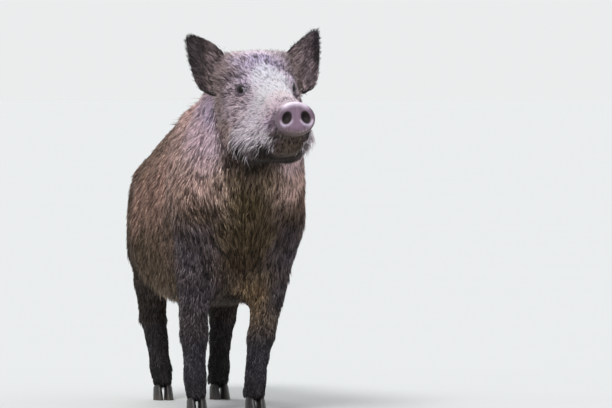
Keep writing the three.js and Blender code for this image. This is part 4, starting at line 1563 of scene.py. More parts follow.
class Ground:
    """Places on the skin, and how thickly each kind of hair grows there: 0 not at all, 1 fully."""

    def __init__(self, points: Array, normals: Array) -> None:
        """Keeps the places with their normals.

        Args:
            points: the places, in the row frame.
            normals: the skin's normals there.
        """
        self.points = points
        self.normals = normals
        self.local = HEAD_FRAME.inside(points)
        self.folded = HEAD_FRAME.folded(points)

    def left(self) -> Array:
        """Her left side."""
        return (self.points[:, 0] >= 0).astype(float)

    def right(self) -> Array:
        """Her right side."""
        return 1 - self.left()

    def left_face(self) -> Array:
        """The left half of head and jaw."""
        return (self.local[:, 0] >= 0) * self.face()

    def right_face(self) -> Array:
        """The right half of head and jaw."""
        return (self.local[:, 0] < 0) * self.face()

    def face(self) -> Array:
        """Head and jaw: none on the lids, thin on the muzzle's end."""
        bare = bump_at(self.folded, (18, -176, -44), (22, 13, 16)) * 0.75
        thin = 0.3 + 0.7 * ease(-188, -168, self.local[:, 1])
        return ease(16.5, 20, eye_distance(self.points)) * thin * (1 - bare)

    def whiskers(self) -> Array:
        """Lips, jowls and chin, where long white whiskers hang."""
        jowl = bump_at(self.folded, (64, -76, -106), (24, 32, 14))
        jowl += 0.9 * bump_at(self.folded, (50, -112, -104), (18, 28, 12))
        chin = 0.45 * bump_at(self.folded, (46, -140, -120), (10, 22, 12))
        return np.clip(jowl * 1.3 + chin, 0, 1) * ease(-150, -138, self.local[:, 2])

    def brows(self) -> Array:
        """Above each eye, where a few long bristles stand."""
        return np.clip(bump_at(self.folded, (60, 8, 28), (12, 12, 7)) * 1.6, 0, 1)

    def ear_fringe(self) -> Array:
        """The side of the head before each ear, where tan hair stands out over it."""
        return np.clip(bump_at(self.folded, (82, 68, 30), (30, 15, 44)) * 1.7, 0, 1)

    def ear_rims(self) -> Array:
        """The edge of each ear, where hair stands out past it."""
        facing = np.abs(self.normals @ HEAD_FRAME.axes[1])
        return ease(0.85, 0.6, facing) * ease(-0.05, 0.15, EARS.along(self.local))

    def brisket(self) -> Array:
        """The underside of chest and belly, where loose hair hangs."""
        low = ease(-0.3, -0.7, self.normals[:, 2]) * ease(0.36, 0.3, self.points[:, 2])
        return low * (self.points[:, 1] < 0.4)

    def dewclaws(self) -> Array:
        """Just above the dewclaws, where the hair hangs over their roots."""
        middles = [box_middle(node) + (0, 0, 0.012) for node in DEWCLAWS]
        apart = np.min([np.linalg.norm(self.points - middle, axis=1) for middle in middles], axis=0)
        return ease(0.019, 0.013, apart)

    def coronets(self) -> Array:
        """Just above the claws, where the hair hangs over the horn."""
        height = self.points[:, 2]
        return ease(0.062, 0.05, height) * ease(0.034, 0.037, height)

    def crest(self) -> Array:
        """The ridge of neck and withers, where the longest bristles stand."""
        ridge = ease(0.045, 0.012, np.abs(self.points[:, 0]))
        ridge = ridge * ease(0.5, 0.8, self.normals[:, 2])
        return ridge * ease(0.42, 0.1, self.points[:, 1])

    def belly_fringe(self) -> Array:
        """The lower edge of the flank, where pale hair hangs."""
        _, along, height = self.points.T
        edge = ease(0.305, 0.275, height) * ease(-0.95, -0.7, self.normals[:, 2])
        return edge * ease(0.05, 0.15, along) * ease(0.5, 0.4, along)


class Unwrap(Enum):
    """How a region of the skin's shape is laid flat."""

    ROUND_Y = "round the length of the body"
    ROUND_Z = "round a leg or the tail"
    FACES = "front and back of a leaf"


@dataclass(frozen=True)
class Grain:
    """How the hairs of a coat differ: pale ones, dark ones, and how far each is from the coat's own tone.

    Where the coat is white, dark hairs and roots have values of their own. Lock is the width in millimetres
    of a streak of like hairs, and locked the share of a hair's chance that it has from its streak.
    """

    pale_share: float = 0.36
    dark_share: float = 0.3
    pale: float = 2.25
    dark: float = 0.36
    dark_in_white: float = 0.36
    root: float = 0.38
    root_in_white: float = 0.44
    spread: float = 0.16
    grey: float = 0.16
    lock: float = 3.0
    locked: float = 0.74


@dataclass(frozen=True)
class Patch:
    """One piece of the coat: the skin that it grows on, and how its tufts stand.

    Spacing, width and clump are in millimetres. Lift gives the two angles in degrees at which a tuft rises
    before and after its bend. A free patch isn't held down by the depth of the coat.
    """

    name: str
    parts: tuple
    spacing: float
    width: float
    where: Callable[[Ground], Array] | None = None
    unwrap: Unwrap = Unwrap.ROUND_Y
    stretch: float = 1.0
    lift: tuple = (34, 10)
    bend: float = 0.42
    free: bool = False
    clump: float = 11.0
    pull: float = 0.4
    stray: float = 0.14
    slot: str = "body_coat"
    seed: int = 1
    grain: Grain = Grain()
    paint: tuple | None = None


# Places tried in each square of one spacing, before those that stand too close are dropped.
TRIES = 4.0


class Roots:
    """Where tufts stand: evenly spaced places on the skin, laid out by a node tree."""

    def __init__(self, skin: Skin, finish: bpy.types.Material) -> None:
        """Builds the tree.

        Args:
            skin: what the tufts stand on.
            finish: the coat's material.
        """
        self.skin = skin
        self.finish = finish
        self.tree = self.make_tree()

    def make_tree(self) -> bpy.types.NodeTree:
        """The node tree: points on the skin where its grow attribute is 1, with their normals."""
        tree = bpy.data.node_groups.new("tuft_roots", "GeometryNodeTree")
        face = tree.interface
        face.new_socket("Geometry", in_out="INPUT", socket_type="NodeSocketGeometry")
        face.new_socket("Spacing", in_out="INPUT", socket_type="NodeSocketFloat")
        face.new_socket("Seed", in_out="INPUT", socket_type="NodeSocketInt")
        face.new_socket("Geometry", in_out="OUTPUT", socket_type="NodeSocketGeometry")
        node = Node(tree)
        given = node.make("NodeGroupInput").outputs
        spacing = Wire(node, given["Spacing"])
        named = {"Name": "grow"}
        grow = node.wire("GeometryNodeInputNamedAttribute", "Attribute", named, data_type="FLOAT")
        laid = {
            "Mesh": given["Geometry"],
            "Distance Min": spacing,
            "Density Max": spacing.maths("DIVIDE", TRIES, spacing * spacing),
            "Density Factor": grow,
            "Seed": given["Seed"],
        }
        spread = node.make("GeometryNodeDistributePointsOnFaces", laid, distribute_method="POISSON").outputs
        up = {"Name": "up", "Geometry": spread["Points"], "Value": spread["Normal"]}
        kept = node.wire("GeometryNodeStoreNamedAttribute", "Geometry", up, data_type="FLOAT_VECTOR")
        plain = node.wire("GeometryNodePointsToVertices", "Mesh", {"Points": kept})
        whole = node.wire("GeometryNodeRealizeInstances", "Geometry", {"Geometry": plain})
        haired = {"Geometry": whole, "Material": self.finish}
        dressed = node.wire("GeometryNodeSetMaterial", "Geometry", haired)
        node.make("NodeGroupOutput", {"Geometry": dressed})
        return tree

    def on(self, patch: Patch) -> tuple[Array, Array]:
        """Where one patch's tufts stand.

        Args:
            patch: the patch.

        Returns:
            Their places and the skin's normals there.
        """
        skin = self.skin
        grow = np.isin(skin.parts, patch.parts).astype(float)
        if patch.where:
            grow *= patch.where(Ground(skin.surface.points, skin.point_normals))
        members = grow > 0
        faces = skin.surface.faces[members[skin.surface.faces].any(1)]
        used, place = np.unique(faces, return_inverse=True)
        mesh = mesh_of("ground", Surface(skin.surface.points[used], place.reshape(-1, 3)))
        value_attribute(mesh, "grow", grow[used])
        made = object_of("ground", mesh)
        nodes = made.modifiers.new("roots", "NODES")
        nodes.node_group = self.tree
        items = [item for item in self.tree.interface.items_tree if item.in_out == "INPUT"]
        names = {item.name: item.identifier for item in items}
        nodes[names["Spacing"]] = patch.spacing * MM * 1.0
        nodes[names["Seed"]] = patch.seed
        laid = applied(made)
        count = len(laid.vertices)
        points, normals = np.empty(count * 3), np.empty(count * 3)
        laid.vertices.foreach_get("co", points)
        laid.attributes["up"].data.foreach_get("vector", normals)
        return points.reshape(-1, 3), unit(normals.reshape(-1, 3))


@dataclass
class Strands:
    """Tufts as arrays: root, direction in the surface, normal, length, width, colour and room of each."""

    root: Array
    along: Array
    up: Array
    length: Array
    width: Array
    tone: Array
    depth: Array

    def knees(self, patch: Patch) -> tuple[Array, Array]:
        """The bend and the tip of each tuft: it rises, then lies over.

        Args:
            patch: says how steeply both halves rise, and whether the coat's depth holds them down.

        Returns:
            The bends and the tips.
        """
        angles = [math.radians(angle) for angle in patch.lift]
        want = patch.bend * math.sin(angles[0]) + (1 - patch.bend) * math.sin(angles[1])
        scale = np.clip(self.depth / np.maximum(self.length * want, 1e-6), 0.3, 1.5)
        if patch.free:
            scale = np.ones(len(self.root))
        rises = [np.clip(math.sin(angle) * scale, -0.6, 0.93) for angle in angles]
        steps = [self.along * np.sqrt(1 - rise**2)[:, None] + self.up * rise[:, None] for rise in rises]
        knee = self.root + steps[0] * (patch.bend * self.length)[:, None]
        return knee, knee + steps[1] * ((1 - patch.bend) * self.length)[:, None]


# A tuft is a closed spindle: root, three corners at its bend, tip. Its bands are the colours of these
# five, of root, band and tip, and its spots their places on the unwrap.
TUFT_BANDS = [0, 1, 1, 1, 2]
TUFT_FACES = np.array([(1, 2, 4), (2, 3, 4), (3, 1, 4), (2, 1, 0), (3, 2, 0), (1, 3, 0)])
TUFT_SPOTS = np.array([(0, -1), (-0.9, 0), (0.9, 0), (0, 0.35), (0, 1)])
# How deep its root stands in the skin.
TUFT_DEPTH = 0.8 * MM
# Half the size of one tuft's spot, and how near to the edge of the map a spot may stand.
SPOT = 0.0015
MAP_EDGE = 0.004
# A streak takes the chances of the locks so many places before and behind a tuft, along its lie.
STREAK_STEPS = (-2, -1, 1, 2)


def locks_of(points: Array, size: float, swell: float, far: float, seed: int) -> Array:
    """Sorts points into the cubes of a grid whose walls wander, so that no straight edge shows.

    Args:
        points: the points.
        size: the width of a cube, in millimetres.
        swell: how long the waves of its walls are.
        far: how high they are.
        seed: the first of the three fields that bend them.

    Returns:
        The number of each one's cube.
    """
    wander = np.stack([ripple(points, swell, seed + axis) for axis in range(3)], 1) * far
    _, cube = np.unique(np.floor((points + wander) / (size * MM)), axis=0, return_inverse=True)
    return cube.reshape(-1)


@dataclass
class Coat:
    """All the tufts, patch by patch, with the least and the most of what each has by chance."""

    skin: Skin
    finish: bpy.types.Material
    lengths: tuple = (0.65, 1.25)
    widths: tuple = (0.7, 1.3)
    depths: tuple = (0.5, 1.1)
    pulls: tuple = (0.3, 1.2)
    roll: float = 0.5

    def lie(self, points: Array, normals: Array, parts: Array) -> tuple[Array, Array]:
        """How the coat lies.

        Args:
            points: places on the skin.
            normals: its normals there.
            parts: the Part of each.

        Returns:
            Its direction in the surface and its length in metres.
        """
        local = HEAD_FRAME.inside(points)
        body = BODY_LIE.at(points / MM)
        face = HEAD_LIE.at(local)
        face[:, :3] = HEAD_FRAME.turned(face[:, :3])
        on_head = HEAD_FRAME.share(points)
        both = mix(body, face, on_head)
        both[:, :3] = mix(unit(body[:, :3]), unit(face[:, :3]), on_head)
        both[:, 3] *= 0.45 + 0.55 * ease(18, 42, eye_distance(points))
        ear = parts == Part.EAR
        if ear.any():
            both[ear] = self.ear_lie(local[ear], normals[ear])
        tail = parts == Part.TAIL
        low = ease(0.5, 0.4, points[:, 2])
        both[tail, :3] = (0, 0.05, -1)
        both[tail, 3] = 24 + 36 * low[tail]
        return flat_to(both[:, :3], normals), both[:, 3] * MM

    def ear_lie(self, local: Array, normals: Array) -> Array:
        """The same on the ears: to the tip, and on the inner face out across the cup from its inner edge.

        Args:
            local: points in the head's frame.
            normals: the skin's normals there, in the row frame.

        Returns:
            Rows of a direction in the row frame and a length in millimetres.
        """
        along = EARS.along(local)
        axis = EARS.axis(local)
        side = np.where(local[:, :1] < 0, -1.0, 1.0)
        front = ease(-0.1, 0.3, -(normals @ HEAD_FRAME.axes[1]))
        near_inner = ease(122, 95, np.abs(local[:, 0])) * front * ease(0.8, 0.3, along)
        outer = ease(118, 140, np.abs(local[:, 0]))
        direction = axis + side * (1, 0, 0) * (near_inner * 0.9 + outer * 0.5)[:, None]
        length = 8.5 + 14 * near_inner + 5 * ease(0.3, 0.0, along) + 2 * outer
        return np.concatenate([HEAD_FRAME.turned(direction), length[:, None]], 1)

    def strands(self, patch: Patch, roots: Roots) -> Strands:
        """Every tuft of a patch, each a little different.

        Args:
            patch: the patch.
            roots: lays out where its tufts stand.

        Returns:
            The tufts.
        """
        points, normals = roots.on(patch)
        rng = np.random.default_rng(patch.seed)
        parts = self.skin.parts_at(points)
        along, length = self.lie(points, normals, parts)
        count = len(points)
        side = np.cross(along, normals)
        sway = ripple(points, 0.05, patch.seed % 7 + 5) * 0.16 + rng.normal(0, patch.stray, count)
        along = flat_to(along + side * sway[:, None], normals)
        length = length * patch.stretch * rng.uniform(*self.lengths, count)
        width = patch.width * MM * rng.uniform(*self.widths, count)
        depth = np.minimum(self.depth(points, parts) * rng.uniform(*self.depths, count), length * 0.8)
        gain = GAIN + (HEAD_GAIN - GAIN) * HEAD_FRAME.share(points)
        tone = MARKINGS.tones(points, normals, parts) * gain[:, None]
        if patch.paint:
            tone = mix(tone, linear(patch.paint) * PAINT_GAIN, np.full(count, PAINT_SHARE))
        return Strands(points, along, normals, length, width, tone, depth)

    def depth(self, points: Array, parts: Array) -> Array:
        """Room between the skin and the outline of the animal.

        Args:
            points: places on the skin.
            parts: the Part of each.

        Returns:
            Metres at each place.
        """
        find = self.skin.ground.find_nearest
        over = np.array([find(p)[2] for p in points.tolist()])
        room = self.skin.room[self.skin.surface.faces[over]].mean(1) + self.skin.grow
        return np.maximum(room, np.where(parts == Part.EAR, 2.0, 2.4) * MM)

    def colours(self, strands: Strands, grain: Grain, rng: np.random.Generator) -> Array:
        """Colours along each tuft: dark at the root, then its own, pale or dark band, then its tip.

        Args:
            strands: the tufts.
            grain: how they differ.
            rng: the piece's own source of chance.

        Returns:
            Linear colours of root, band and tip of each.
        """
        count = len(strands.root)
        chance = self.chances(strands, grain, rng)
        own = np.exp(rng.normal(0, grain.spread, count)) * (1 + ripple(strands.root, 0.07, 77) * 0.09)
        pale, dark = chance < grain.pale_share, chance > 1 - grain.dark_share
        white = ease(0.75, 1.35, strands.tone.mean(1))
        low = grain.dark + (grain.dark_in_white - grain.dark) * white
        band = own * np.where(pale, grain.pale, np.where(dark, low, 1.0))
        tip = own * np.where(pale, grain.pale * 1.12, np.where(dark, low * 0.85, 1.2))
        root = own * (grain.root + (grain.root_in_white - grain.root) * white)
        grey = strands.tone.mean(1, keepdims=True) * (1.02, 1.0, 0.97)
        tone = mix(strands.tone, grey, np.where(pale, grain.grey, grain.grey * 0.3))
        rows = [strands.tone * root[:, None], tone * band[:, None], tone * tip[:, None]]
        colours = np.maximum(np.stack(rows, 1), DARKEST)
        return colours * np.minimum(1, PALEST / colours.max(2, keepdims=True))

    def chances(self, strands: Strands, grain: Grain, rng: np.random.Generator) -> Array:
        """An even chance of 0 to 1 for each tuft, much the same along a streak of the coat.

        Args:
            strands: the tufts.
            grain: gives the width of a streak, and the share of a tuft's chance that it shares.
            rng: the piece's own source of chance.

        Returns:
            One value a tuft.
        """
        roots, count = strands.root, len(strands.root)
        lock = locks_of(roots, grain.lock, 0.015, 0.002, seed=4)
        own = rng.uniform(size=lock.max() + 1)[lock]
        tufts = KDTree(count)
        for number, place in enumerate(roots.tolist()):
            tufts.insert(place, number)
        tufts.balance()
        streak = own.copy()
        for step in STREAK_STEPS:
            beyond = roots + strands.along * (step * grain.lock * MM)
            streak += own[[tufts.find(place)[1] for place in beyond.tolist()]]
        chance = streak.argsort().argsort() / count * grain.locked
        chance = chance + rng.uniform(size=count) * (1 - grain.locked)
        chance += ripple(roots, 0.03, 78) * 0.05
        return chance.argsort().argsort() / count

    def unwrapped(self, patch: Patch, strands: Strands) -> Array:
        """Each root's place on an unwrap of the skin's own shape.

        Args:
            patch: says which way its skin is laid flat.
            strands: the tufts.

        Returns:
            Places between 0 and 1.
        """
        points, normals = strands.root, strands.up
        if patch.unwrap is Unwrap.ROUND_Y:
            middle = (points.min(0) + points.max(0)) / 2
            turn = np.arctan2(points[:, 0] - middle[0], points[:, 2] - middle[2])
            flat = np.stack([points[:, 1] + normals[:, 1] * 0.02, turn], 1)
        elif patch.unwrap is Unwrap.ROUND_Z:
            rank = (points[:, 0] > np.median(points[:, 0])).astype(float)
            turn = np.arctan2(normals[:, 0], normals[:, 1])
            flat = np.stack([turn / math.pi + rank * 2.1, points[:, 2]], 1)
        else:
            local = HEAD_FRAME.inside(points)
            face = (normals @ HEAD_FRAME.axes[1] > 0).astype(float)
            across = np.abs(local[:, 0]) + face * 110 + (local[:, 0] > 0) * 220
            flat = np.stack([across, local[:, 2]], 1)
        low, high = flat.min(0), flat.max(0)
        return 0.01 + 0.98 * (flat - low) / np.maximum(high - low, 1e-9)

    def piece(self, patch: Patch, roots: Roots) -> bpy.types.Object:
        """One patch of coat as one mesh of closed tufts.

        Args:
            patch: the patch.
            roots: lays out where its tufts stand.

        Returns:
            The dressed object, with its unwrap.
        """
        strands = self.strands(patch, roots)
        rng = np.random.default_rng(patch.seed + 100)
        knee, tip = strands.knees(patch)
        count = len(tip)
        side = np.cross(strands.along, strands.up)
        tip = tip + side * (rng.normal(0, patch.stray * 0.5, count) * strands.length)[:, None]
        tip = self.clumped(strands.root, tip, patch, rng)
        turn = rng.normal(0, self.roll, count)
        across = side * np.cos(turn)[:, None] + strands.up * np.sin(turn)[:, None]
        above = strands.up * np.cos(turn)[:, None] - side * np.sin(turn)[:, None]
        half = (strands.width / 2)[:, None]
        root = strands.root - strands.up * TUFT_DEPTH
        corners = [root, knee + across * half, knee - across * half, knee + above * half, tip]
        points = np.stack(corners, 1).reshape(-1, 3)
        faces = (TUFT_FACES[None] + np.arange(count)[:, None, None] * len(corners)).reshape(-1, 3)
        mesh = mesh_of(patch.name, Surface(points, faces))
        colours = self.colours(strands, patch.grain, rng)
        colour_attribute(mesh, "coat", colours[:, TUFT_BANDS].reshape(-1, 3))
        place = np.clip(self.unwrapped(patch, strands), MAP_EDGE, 1 - MAP_EDGE)
        spots = (place[:, None] + TUFT_SPOTS[None] * SPOT).reshape(-1, 2)
        layer = mesh.uv_layers.new(name="OFBake")
        layer.data.foreach_set("uv", spots[faces.ravel()].astype(np.float32).ravel())
        mesh.materials.append(self.finish)
        made = object_of(patch.name, mesh)
        LOG.info("%s: %d tufts, %d triangles", patch.name, count, len(faces))
        return made

    def clumped(self, root: Array, tip: Array, patch: Patch, rng: np.random.Generator) -> Array:
        """Tips drawn together in small locks.

        Args:
            root: the tufts' roots.
            tip: their tips.
            patch: says how wide a lock is, and how strongly it draws.
            rng: the piece's own source of chance.

        Returns:
            The new tips.
        """
        group = locks_of(root, patch.clump, 0.02, 0.003, seed=1)
        sizes = np.maximum(np.bincount(group), 1)
        centre = np.stack([np.bincount(group, tip[:, axis]) / sizes for axis in range(3)], 1)[group]
        return tip + (centre - tip) * (patch.pull * rng.uniform(*self.pulls, len(tip)))[:, None]


FACE_GRAIN = Grain(pale_share=0.46, dark_share=0.25, pale=1.75, dark=0.28, root=0.34, grey=0.25, lock=2.1)
EAR_GRAIN = Grain(pale_share=0.3, dark_share=0.36, pale=1.7, dark=0.5, root=0.45, grey=0.1, lock=2.2)
LEG_GRAIN = Grain(pale_share=0.16, dark_share=0.4, pale=1.6, dark=0.6)
SIDES = (("left", Ground.left, Ground.left_face), ("right", Ground.right, Ground.right_face))
STRETCHES = (("shoulder", -1.0, -0.09), ("side", -0.09, 0.2), ("rump", 0.2, 1.0))


def stretch_of(half: Callable[[Ground], Array], start: float, end: float) -> Callable[[Ground], Array]:
    """One side of the body between two places along its length."""
    return lambda ground: half(ground) * (ground.points[:, 1] >= start) * (ground.points[:, 1] < end)


def side_patches() -> list[Patch]:
    """The six pieces of coat on trunk and neck."""
    return [
        Patch(
            f"coat_{side}_{name}", TRUNK, 2.0, 1.9, stretch_of(half, start, end),
            stretch=0.72, seed=20 + number * len(STRETCHES) + place,
        )
        for number, (side, half, _) in enumerate(SIDES)
        for place, (name, start, end) in enumerate(STRETCHES)
    ]


def face_patches() -> list[Patch]:
    """The two pieces of coat on head and jaw."""
    return [
        Patch(
            f"coat_{side}_face", HEADS, 1.3, 1.08, half, clump=6, pull=0.34, lift=(27, 12),
            stray=0.16, slot="face_and_neck_coat", seed=15 + number, grain=FACE_GRAIN,
        )
        for number, (side, _, half) in enumerate(SIDES)
    ]


PATCHES = [
    *side_patches(),
    *face_patches(),
    Patch(
        "coat_crest", TRUNK, 4.2, 2.4, Ground.crest,
        stretch=1.15, lift=(48, 20), free=True, pull=0.4, clump=14, seed=31,
    ),
    Patch(
        "coat_belly_fringe", TRUNK, 4.5, 2.2, Ground.belly_fringe,
        stretch=1.0, lift=(40, 30), free=True, pull=0.3, seed=32, paint=(150, 128, 110),
    ),
    Patch(
        "coat_whiskers", HEADS, 2.2, 1.2, Ground.whiskers, paint=(240, 228, 236),
        stretch=2.1, lift=(32, 6), free=True, clump=7, pull=0.3, stray=0.14, slot="jaw_coat", seed=33,
        grain=Grain(pale_share=0.5, dark_share=0.24, pale=1.2, dark=0.3, root=0.4, lock=2.0),
    ),
    Patch(
        "coat_ear_fringe", HEADS, 2.2, 0.95, Ground.ear_fringe, paint=(150, 131, 130),
        stretch=1.15, lift=(42, 20), free=True, clump=6, pull=0.1, stray=0.2,
        slot="face_and_neck_coat", seed=34,
        grain=Grain(pale_share=0.5, dark_share=0.3, pale=1.3, dark=0.4, root=0.4),
    ),
    Patch(
        "coat_brows", HEADS, 3.0, 1.3, Ground.brows, paint=(70, 60, 64),
        stretch=1.3, lift=(50, 25), free=True, pull=0.1, slot="face_and_neck_coat", seed=35,
    ),
    Patch(
        "coat_ears", (Part.EAR,), 1.9, 1.2, unwrap=Unwrap.FACES,
        clump=4, pull=0.08, lift=(20, 10), stray=0.1, slot="ear_coat", seed=16, grain=EAR_GRAIN,
    ),
    Patch(
        "coat_ear_rims", (Part.EAR,), 1.7, 1.0, Ground.ear_rims, Unwrap.FACES, free=True,
        clump=5, pull=0.15, lift=(56, 38), stray=0.25, slot="ear_coat", seed=37, grain=EAR_GRAIN,
    ),
    Patch(
        "coat_brisket", TRUNK, 3.6, 2.0, Ground.brisket, free=True,
        stretch=0.8, lift=(52, 34), pull=0.3, seed=38,
    ),
    Patch(
        "coat_upper_legs", (Part.UPPER_LEG,), 2.8, 2.3, unwrap=Unwrap.ROUND_Z,
        clump=8, stretch=0.9, lift=(28, 8), slot="leg_coat", seed=17, grain=LEG_GRAIN,
    ),
    Patch(
        "coat_lower_legs", (Part.LOWER_LEG,), 2.5, 2.0, unwrap=Unwrap.ROUND_Z,
        clump=6, lift=(20, 7), slot="leg_coat", seed=18, grain=LEG_GRAIN,
    ),
    Patch(
        "coat_coronets", (Part.LOWER_LEG,), 2.6, 1.8, Ground.coronets, Unwrap.ROUND_Z,
        stretch=1.9, lift=(20, 2), free=True, clump=6, slot="leg_coat", seed=36, grain=LEG_GRAIN,
    ),
    Patch(
        "coat_dewclaws", (Part.LOWER_LEG,), 2.0, 1.7, Ground.dewclaws, Unwrap.ROUND_Z, free=True,
        stretch=1.2, lift=(34, 12), clump=6, slot="leg_coat", seed=39, grain=LEG_GRAIN,
    ),
    Patch("coat_tail", (Part.TAIL,), 2.4, 2.0, unwrap=Unwrap.ROUND_Z, clump=7, lift=(20, 5), seed=19),
]


# ---- Eyes, claws ----


@dataclass(frozen=True)
class Eyeball:
    """An eye with its cornea, looking out and forward; bulge is how wide the cornea is, as an angle."""

    way: tuple = (0.81, -0.59, 0.02)
    radius: float = 12.2 * MM
    cornea: float = 0.9 * MM
    bulge: float = 0.5
    gaze_scale: float = 1.6
    rows: int = 28
    around: int = 40

    def build(self, node: str, side: int) -> bpy.types.Object:
        """The eye that stands for a CAD node.

        Args:
            node: the CAD node.
            side: 1 for her left, -1 for her right.

        Returns:
            The object.
        """
        gaze, across, above = HEAD_FRAME.sight(self.way, side)
        points, turns = [], []
        for row in range(self.rows + 1):
            polar = math.pi * row / self.rows
            for n in range(self.around if 0 < row < self.rows else 1):
                turn = 2 * math.pi * n / self.around
                swell = self.cornea * math.exp(-((polar / self.bulge) ** 2))
                flat = across * math.cos(turn) + above * math.sin(turn)
                points.append((gaze * math.cos(polar) + flat * math.sin(polar)) * (self.radius + swell))
                turns.append(polar / math.pi * self.gaze_scale)
        bands = ring_faces(self.rows - 1, self.around) + 1
        ring = np.arange(self.around)
        pole, last = ring * 0, len(points) - 1
        front = np.stack([pole, 1 + ring, 1 + np.roll(ring, -1)], 1)
        back = np.stack([pole + last, last - self.around + np.roll(ring, -1), last - self.around + ring], 1)
        surface = Surface(np.array(points) + box_middle(node), np.concatenate([front, bands, back]))
        mesh = mesh_of(node + "_ball", surface)
        value_attribute(mesh, "gaze", np.array(turns))
        return object_of(node + "_ball", mesh)


@dataclass(frozen=True)
class Claws:
    """The horn of the feet: each CAD claw, rounded."""

    levels: int = 2
    taper: float = 0.13
    lean: float = 6 * MM

    def build(self, node: str, finish: bpy.types.Material) -> bpy.types.Object:
        """The rounded claw that stands for a CAD node, with a main claw's sole left sharp.

        Args:
            node: the CAD node.
            finish: the horn's material.

        Returns:
            The object.
        """
        surface = surface_of(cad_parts[node].data, merge=True)
        made = object_of(node + "_horn", mesh_of(node + "_horn", surface))
        mesh = made.data
        crease = mesh.attributes.new("crease_edge", "FLOAT", "EDGE")
        ends = np.array([edge.vertices[:] for edge in mesh.edges])
        low = surface.points[:, 2].min() + 0.2 * MM
        sole = (surface.points[ends][:, :, 2] < low).all(1)
        crease.data.foreach_set("value", np.where(sole & (node not in DEWCLAWS), 1.0, 0.0))
        rounding = made.modifiers.new("round", "SUBSURF")
        rounding.levels = rounding.render_levels = self.levels
        mesh = mesh_of(node + "_horn", self.tapered(surface_of(applied(made))))
        mesh.materials.append(finish)
        return object_of(node + "_horn", mesh)

    def tapered(self, claw: Surface) -> Surface:
        """A claw drawn in and leant back towards its top.

        Args:
            claw: the rounded claw, which is changed.

        Returns:
            The claw.
        """
        low, high = claw.points.min(0), claw.points.max(0)
        share = ((claw.points[:, 2] - low[2]) / (high[2] - low[2]))[:, None]
        middle = (low + high) / 2 + (0, self.lean, 0) * share
        scale = 1 - self.taper * share**1.4 * (1, 1, 0)
        claw.points[:, :2] = (middle + (claw.points - (low + high) / 2) * scale)[:, :2]
        return claw


# ---- Stage ----


@dataclass(frozen=True)
class FloorFinish(Finish):
    """A matt pale floor that is hardly uneven in tone."""

    name: str = "pale_floor"
    pale: tuple = (0.60, 0.61, 0.605)
    swell: float = 0.9
    roughness: float = 0.9
    shine: float = 0.1

    def sockets(self, node: Node) -> dict:
        """What goes into the shader.

        Args:
            node: makes the material's nodes.

        Returns:
            The floor's tone and its dull gloss.
        """
        shade = node.noise(self.swell, 2.0, 0.4)
        return {
            "Base Color": node.shaded(self.pale, 0.99 + shade * 0.02),
            "Roughness": self.roughness,
            "Specular IOR Level": self.shine,
        }


@dataclass(frozen=True)
class Sun:
    """A soft lamp so far off that it lights the whole floor evenly.

    Place is the direction that it shines from, and spread how many degrees of the sky it fills.
    """

    name: str
    place: tuple
    spread: float
    power: float

    def build(self) -> None:
        """Hangs it up."""
        light = bpy.data.lights.new(self.name, "SUN")
        light.angle = math.radians(self.spread)
        light.energy = self.power
        made = bpy.data.objects.new(self.name, light)
        made.rotation_euler = (-Vector(self.place)).to_track_quat("-Z", "Y").to_euler()
        bpy.context.scene.collection.objects.link(made)


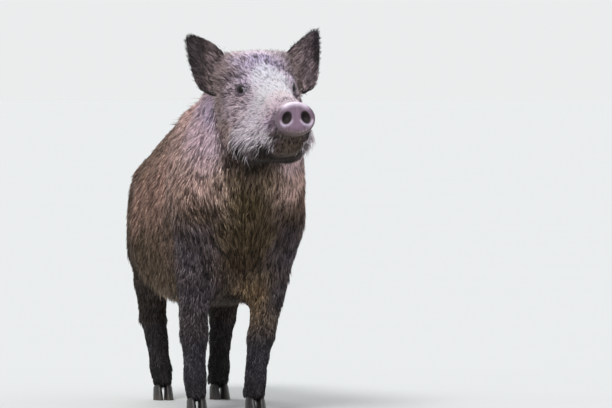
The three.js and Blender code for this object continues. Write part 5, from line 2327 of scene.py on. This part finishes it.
@dataclass(frozen=True)
class Studio:
    """A pale floor, soft light and the camera, which looks down by so many degrees through a long lens."""

    lens: float = 350.0
    sensor: float = 36.0
    place: tuple = (-2.989, -13.803, 0.783)
    azimuth: float = -13.0
    down: float = 1.194
    floor_side: float = 400.0
    suns: tuple = (Sun("key", (-2.5, -4.4, 4.8), 18, 2.15), Sun("top", (-0.2, 3.6, 5.0), 30, 1.3))
    sky_light: tuple = (0.95, 0.97, 1.0)
    sky_power: float = 0.58
    sky_seen: tuple = (0.83, 0.846, 0.848)

    def build(self) -> None:
        """Makes them all."""
        self.floor()
        self.world()
        for sun in self.suns:
            sun.build()
        self.camera()

    def floor(self) -> None:
        """A wide pale floor."""
        side = self.floor_side / 2
        corners = np.array([(-side, -side, 0), (side, -side, 0), (side, side, 0), (-side, side, 0)], float)
        floor = object_of("floor", mesh_of("floor", Surface(corners, np.array([(0, 1, 2), (0, 2, 3)]))))
        floor.data.materials.append(FloorFinish().make())

    def world(self) -> None:
        """An even sky: one strength for light, and a pale tone where the camera sees it."""
        world = bpy.data.worlds.new("studio")
        world.use_nodes = True
        world.node_tree.nodes.clear()
        node = Node(world.node_tree)
        path = node.make("ShaderNodeLightPath").outputs
        seen = Wire(node, path["Is Camera Ray"])
        for kind in ("Is Glossy Ray", "Is Transmission Ray"):
            seen = seen.maths("MAXIMUM", seen, path[kind])
        lit = {"Color": (*self.sky_light, 1), "Strength": self.sky_power}
        light = node.make("ShaderNodeBackground", lit)
        sight = node.make("ShaderNodeBackground", {"Color": (*self.sky_seen, 1), "Strength": 1.0})
        both = node.make("ShaderNodeMixShader", {0: seen, 1: light.outputs[0], 2: sight.outputs[0]})
        node.make("ShaderNodeOutputWorld", {"Surface": both.outputs[0]})
        bpy.context.scene.world = world

    def camera(self) -> None:
        """The camera, far off with a long lens."""
        lens = bpy.data.cameras.new("camera")
        lens.lens = self.lens
        lens.sensor_width = self.sensor
        lens.clip_end = self.floor_side
        made = bpy.data.objects.new("camera", lens)
        made.location = self.place
        made.rotation_euler = (math.radians(90 - self.down), 0, math.radians(self.azimuth))
        bpy.context.scene.collection.objects.link(made)
        bpy.context.scene.camera = made


def main() -> None:
    """Builds the animal and the studio."""
    logging.basicConfig(level=logging.INFO, format="%(message)s")
    bpy.context.scene.view_settings.view_transform = "Standard"
    Studio().build()
    skin = Skin()
    hide = skin.build()
    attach(hide, ROOT)
    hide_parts(*FLESH_NODES)
    bristle = BristleFinish().make()
    coat = Coat(skin, bristle)
    roots = Roots(skin, bristle)
    for patch in PATCHES:
        piece = coat.piece(patch, roots)
        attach(piece, ROOT)
    wet = EyeFinish().make()
    for node, side in EYES:
        eye = Eyeball().build(node, side)
        eye.data.materials.append(wet)
        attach(eye, ROOT)
        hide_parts(node)
        LOG.info("%s: %d triangles", eye.name, len(eye.data.polygons))
    horn = HornFinish().make()
    for node in CLAWS:
        claw = Claws().build(node, horn)
        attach(claw, ROOT)
        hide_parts(node)
        LOG.info("%s: %d triangles", claw.name, len(claw.data.polygons))


if __name__ == "__main__":
    main()
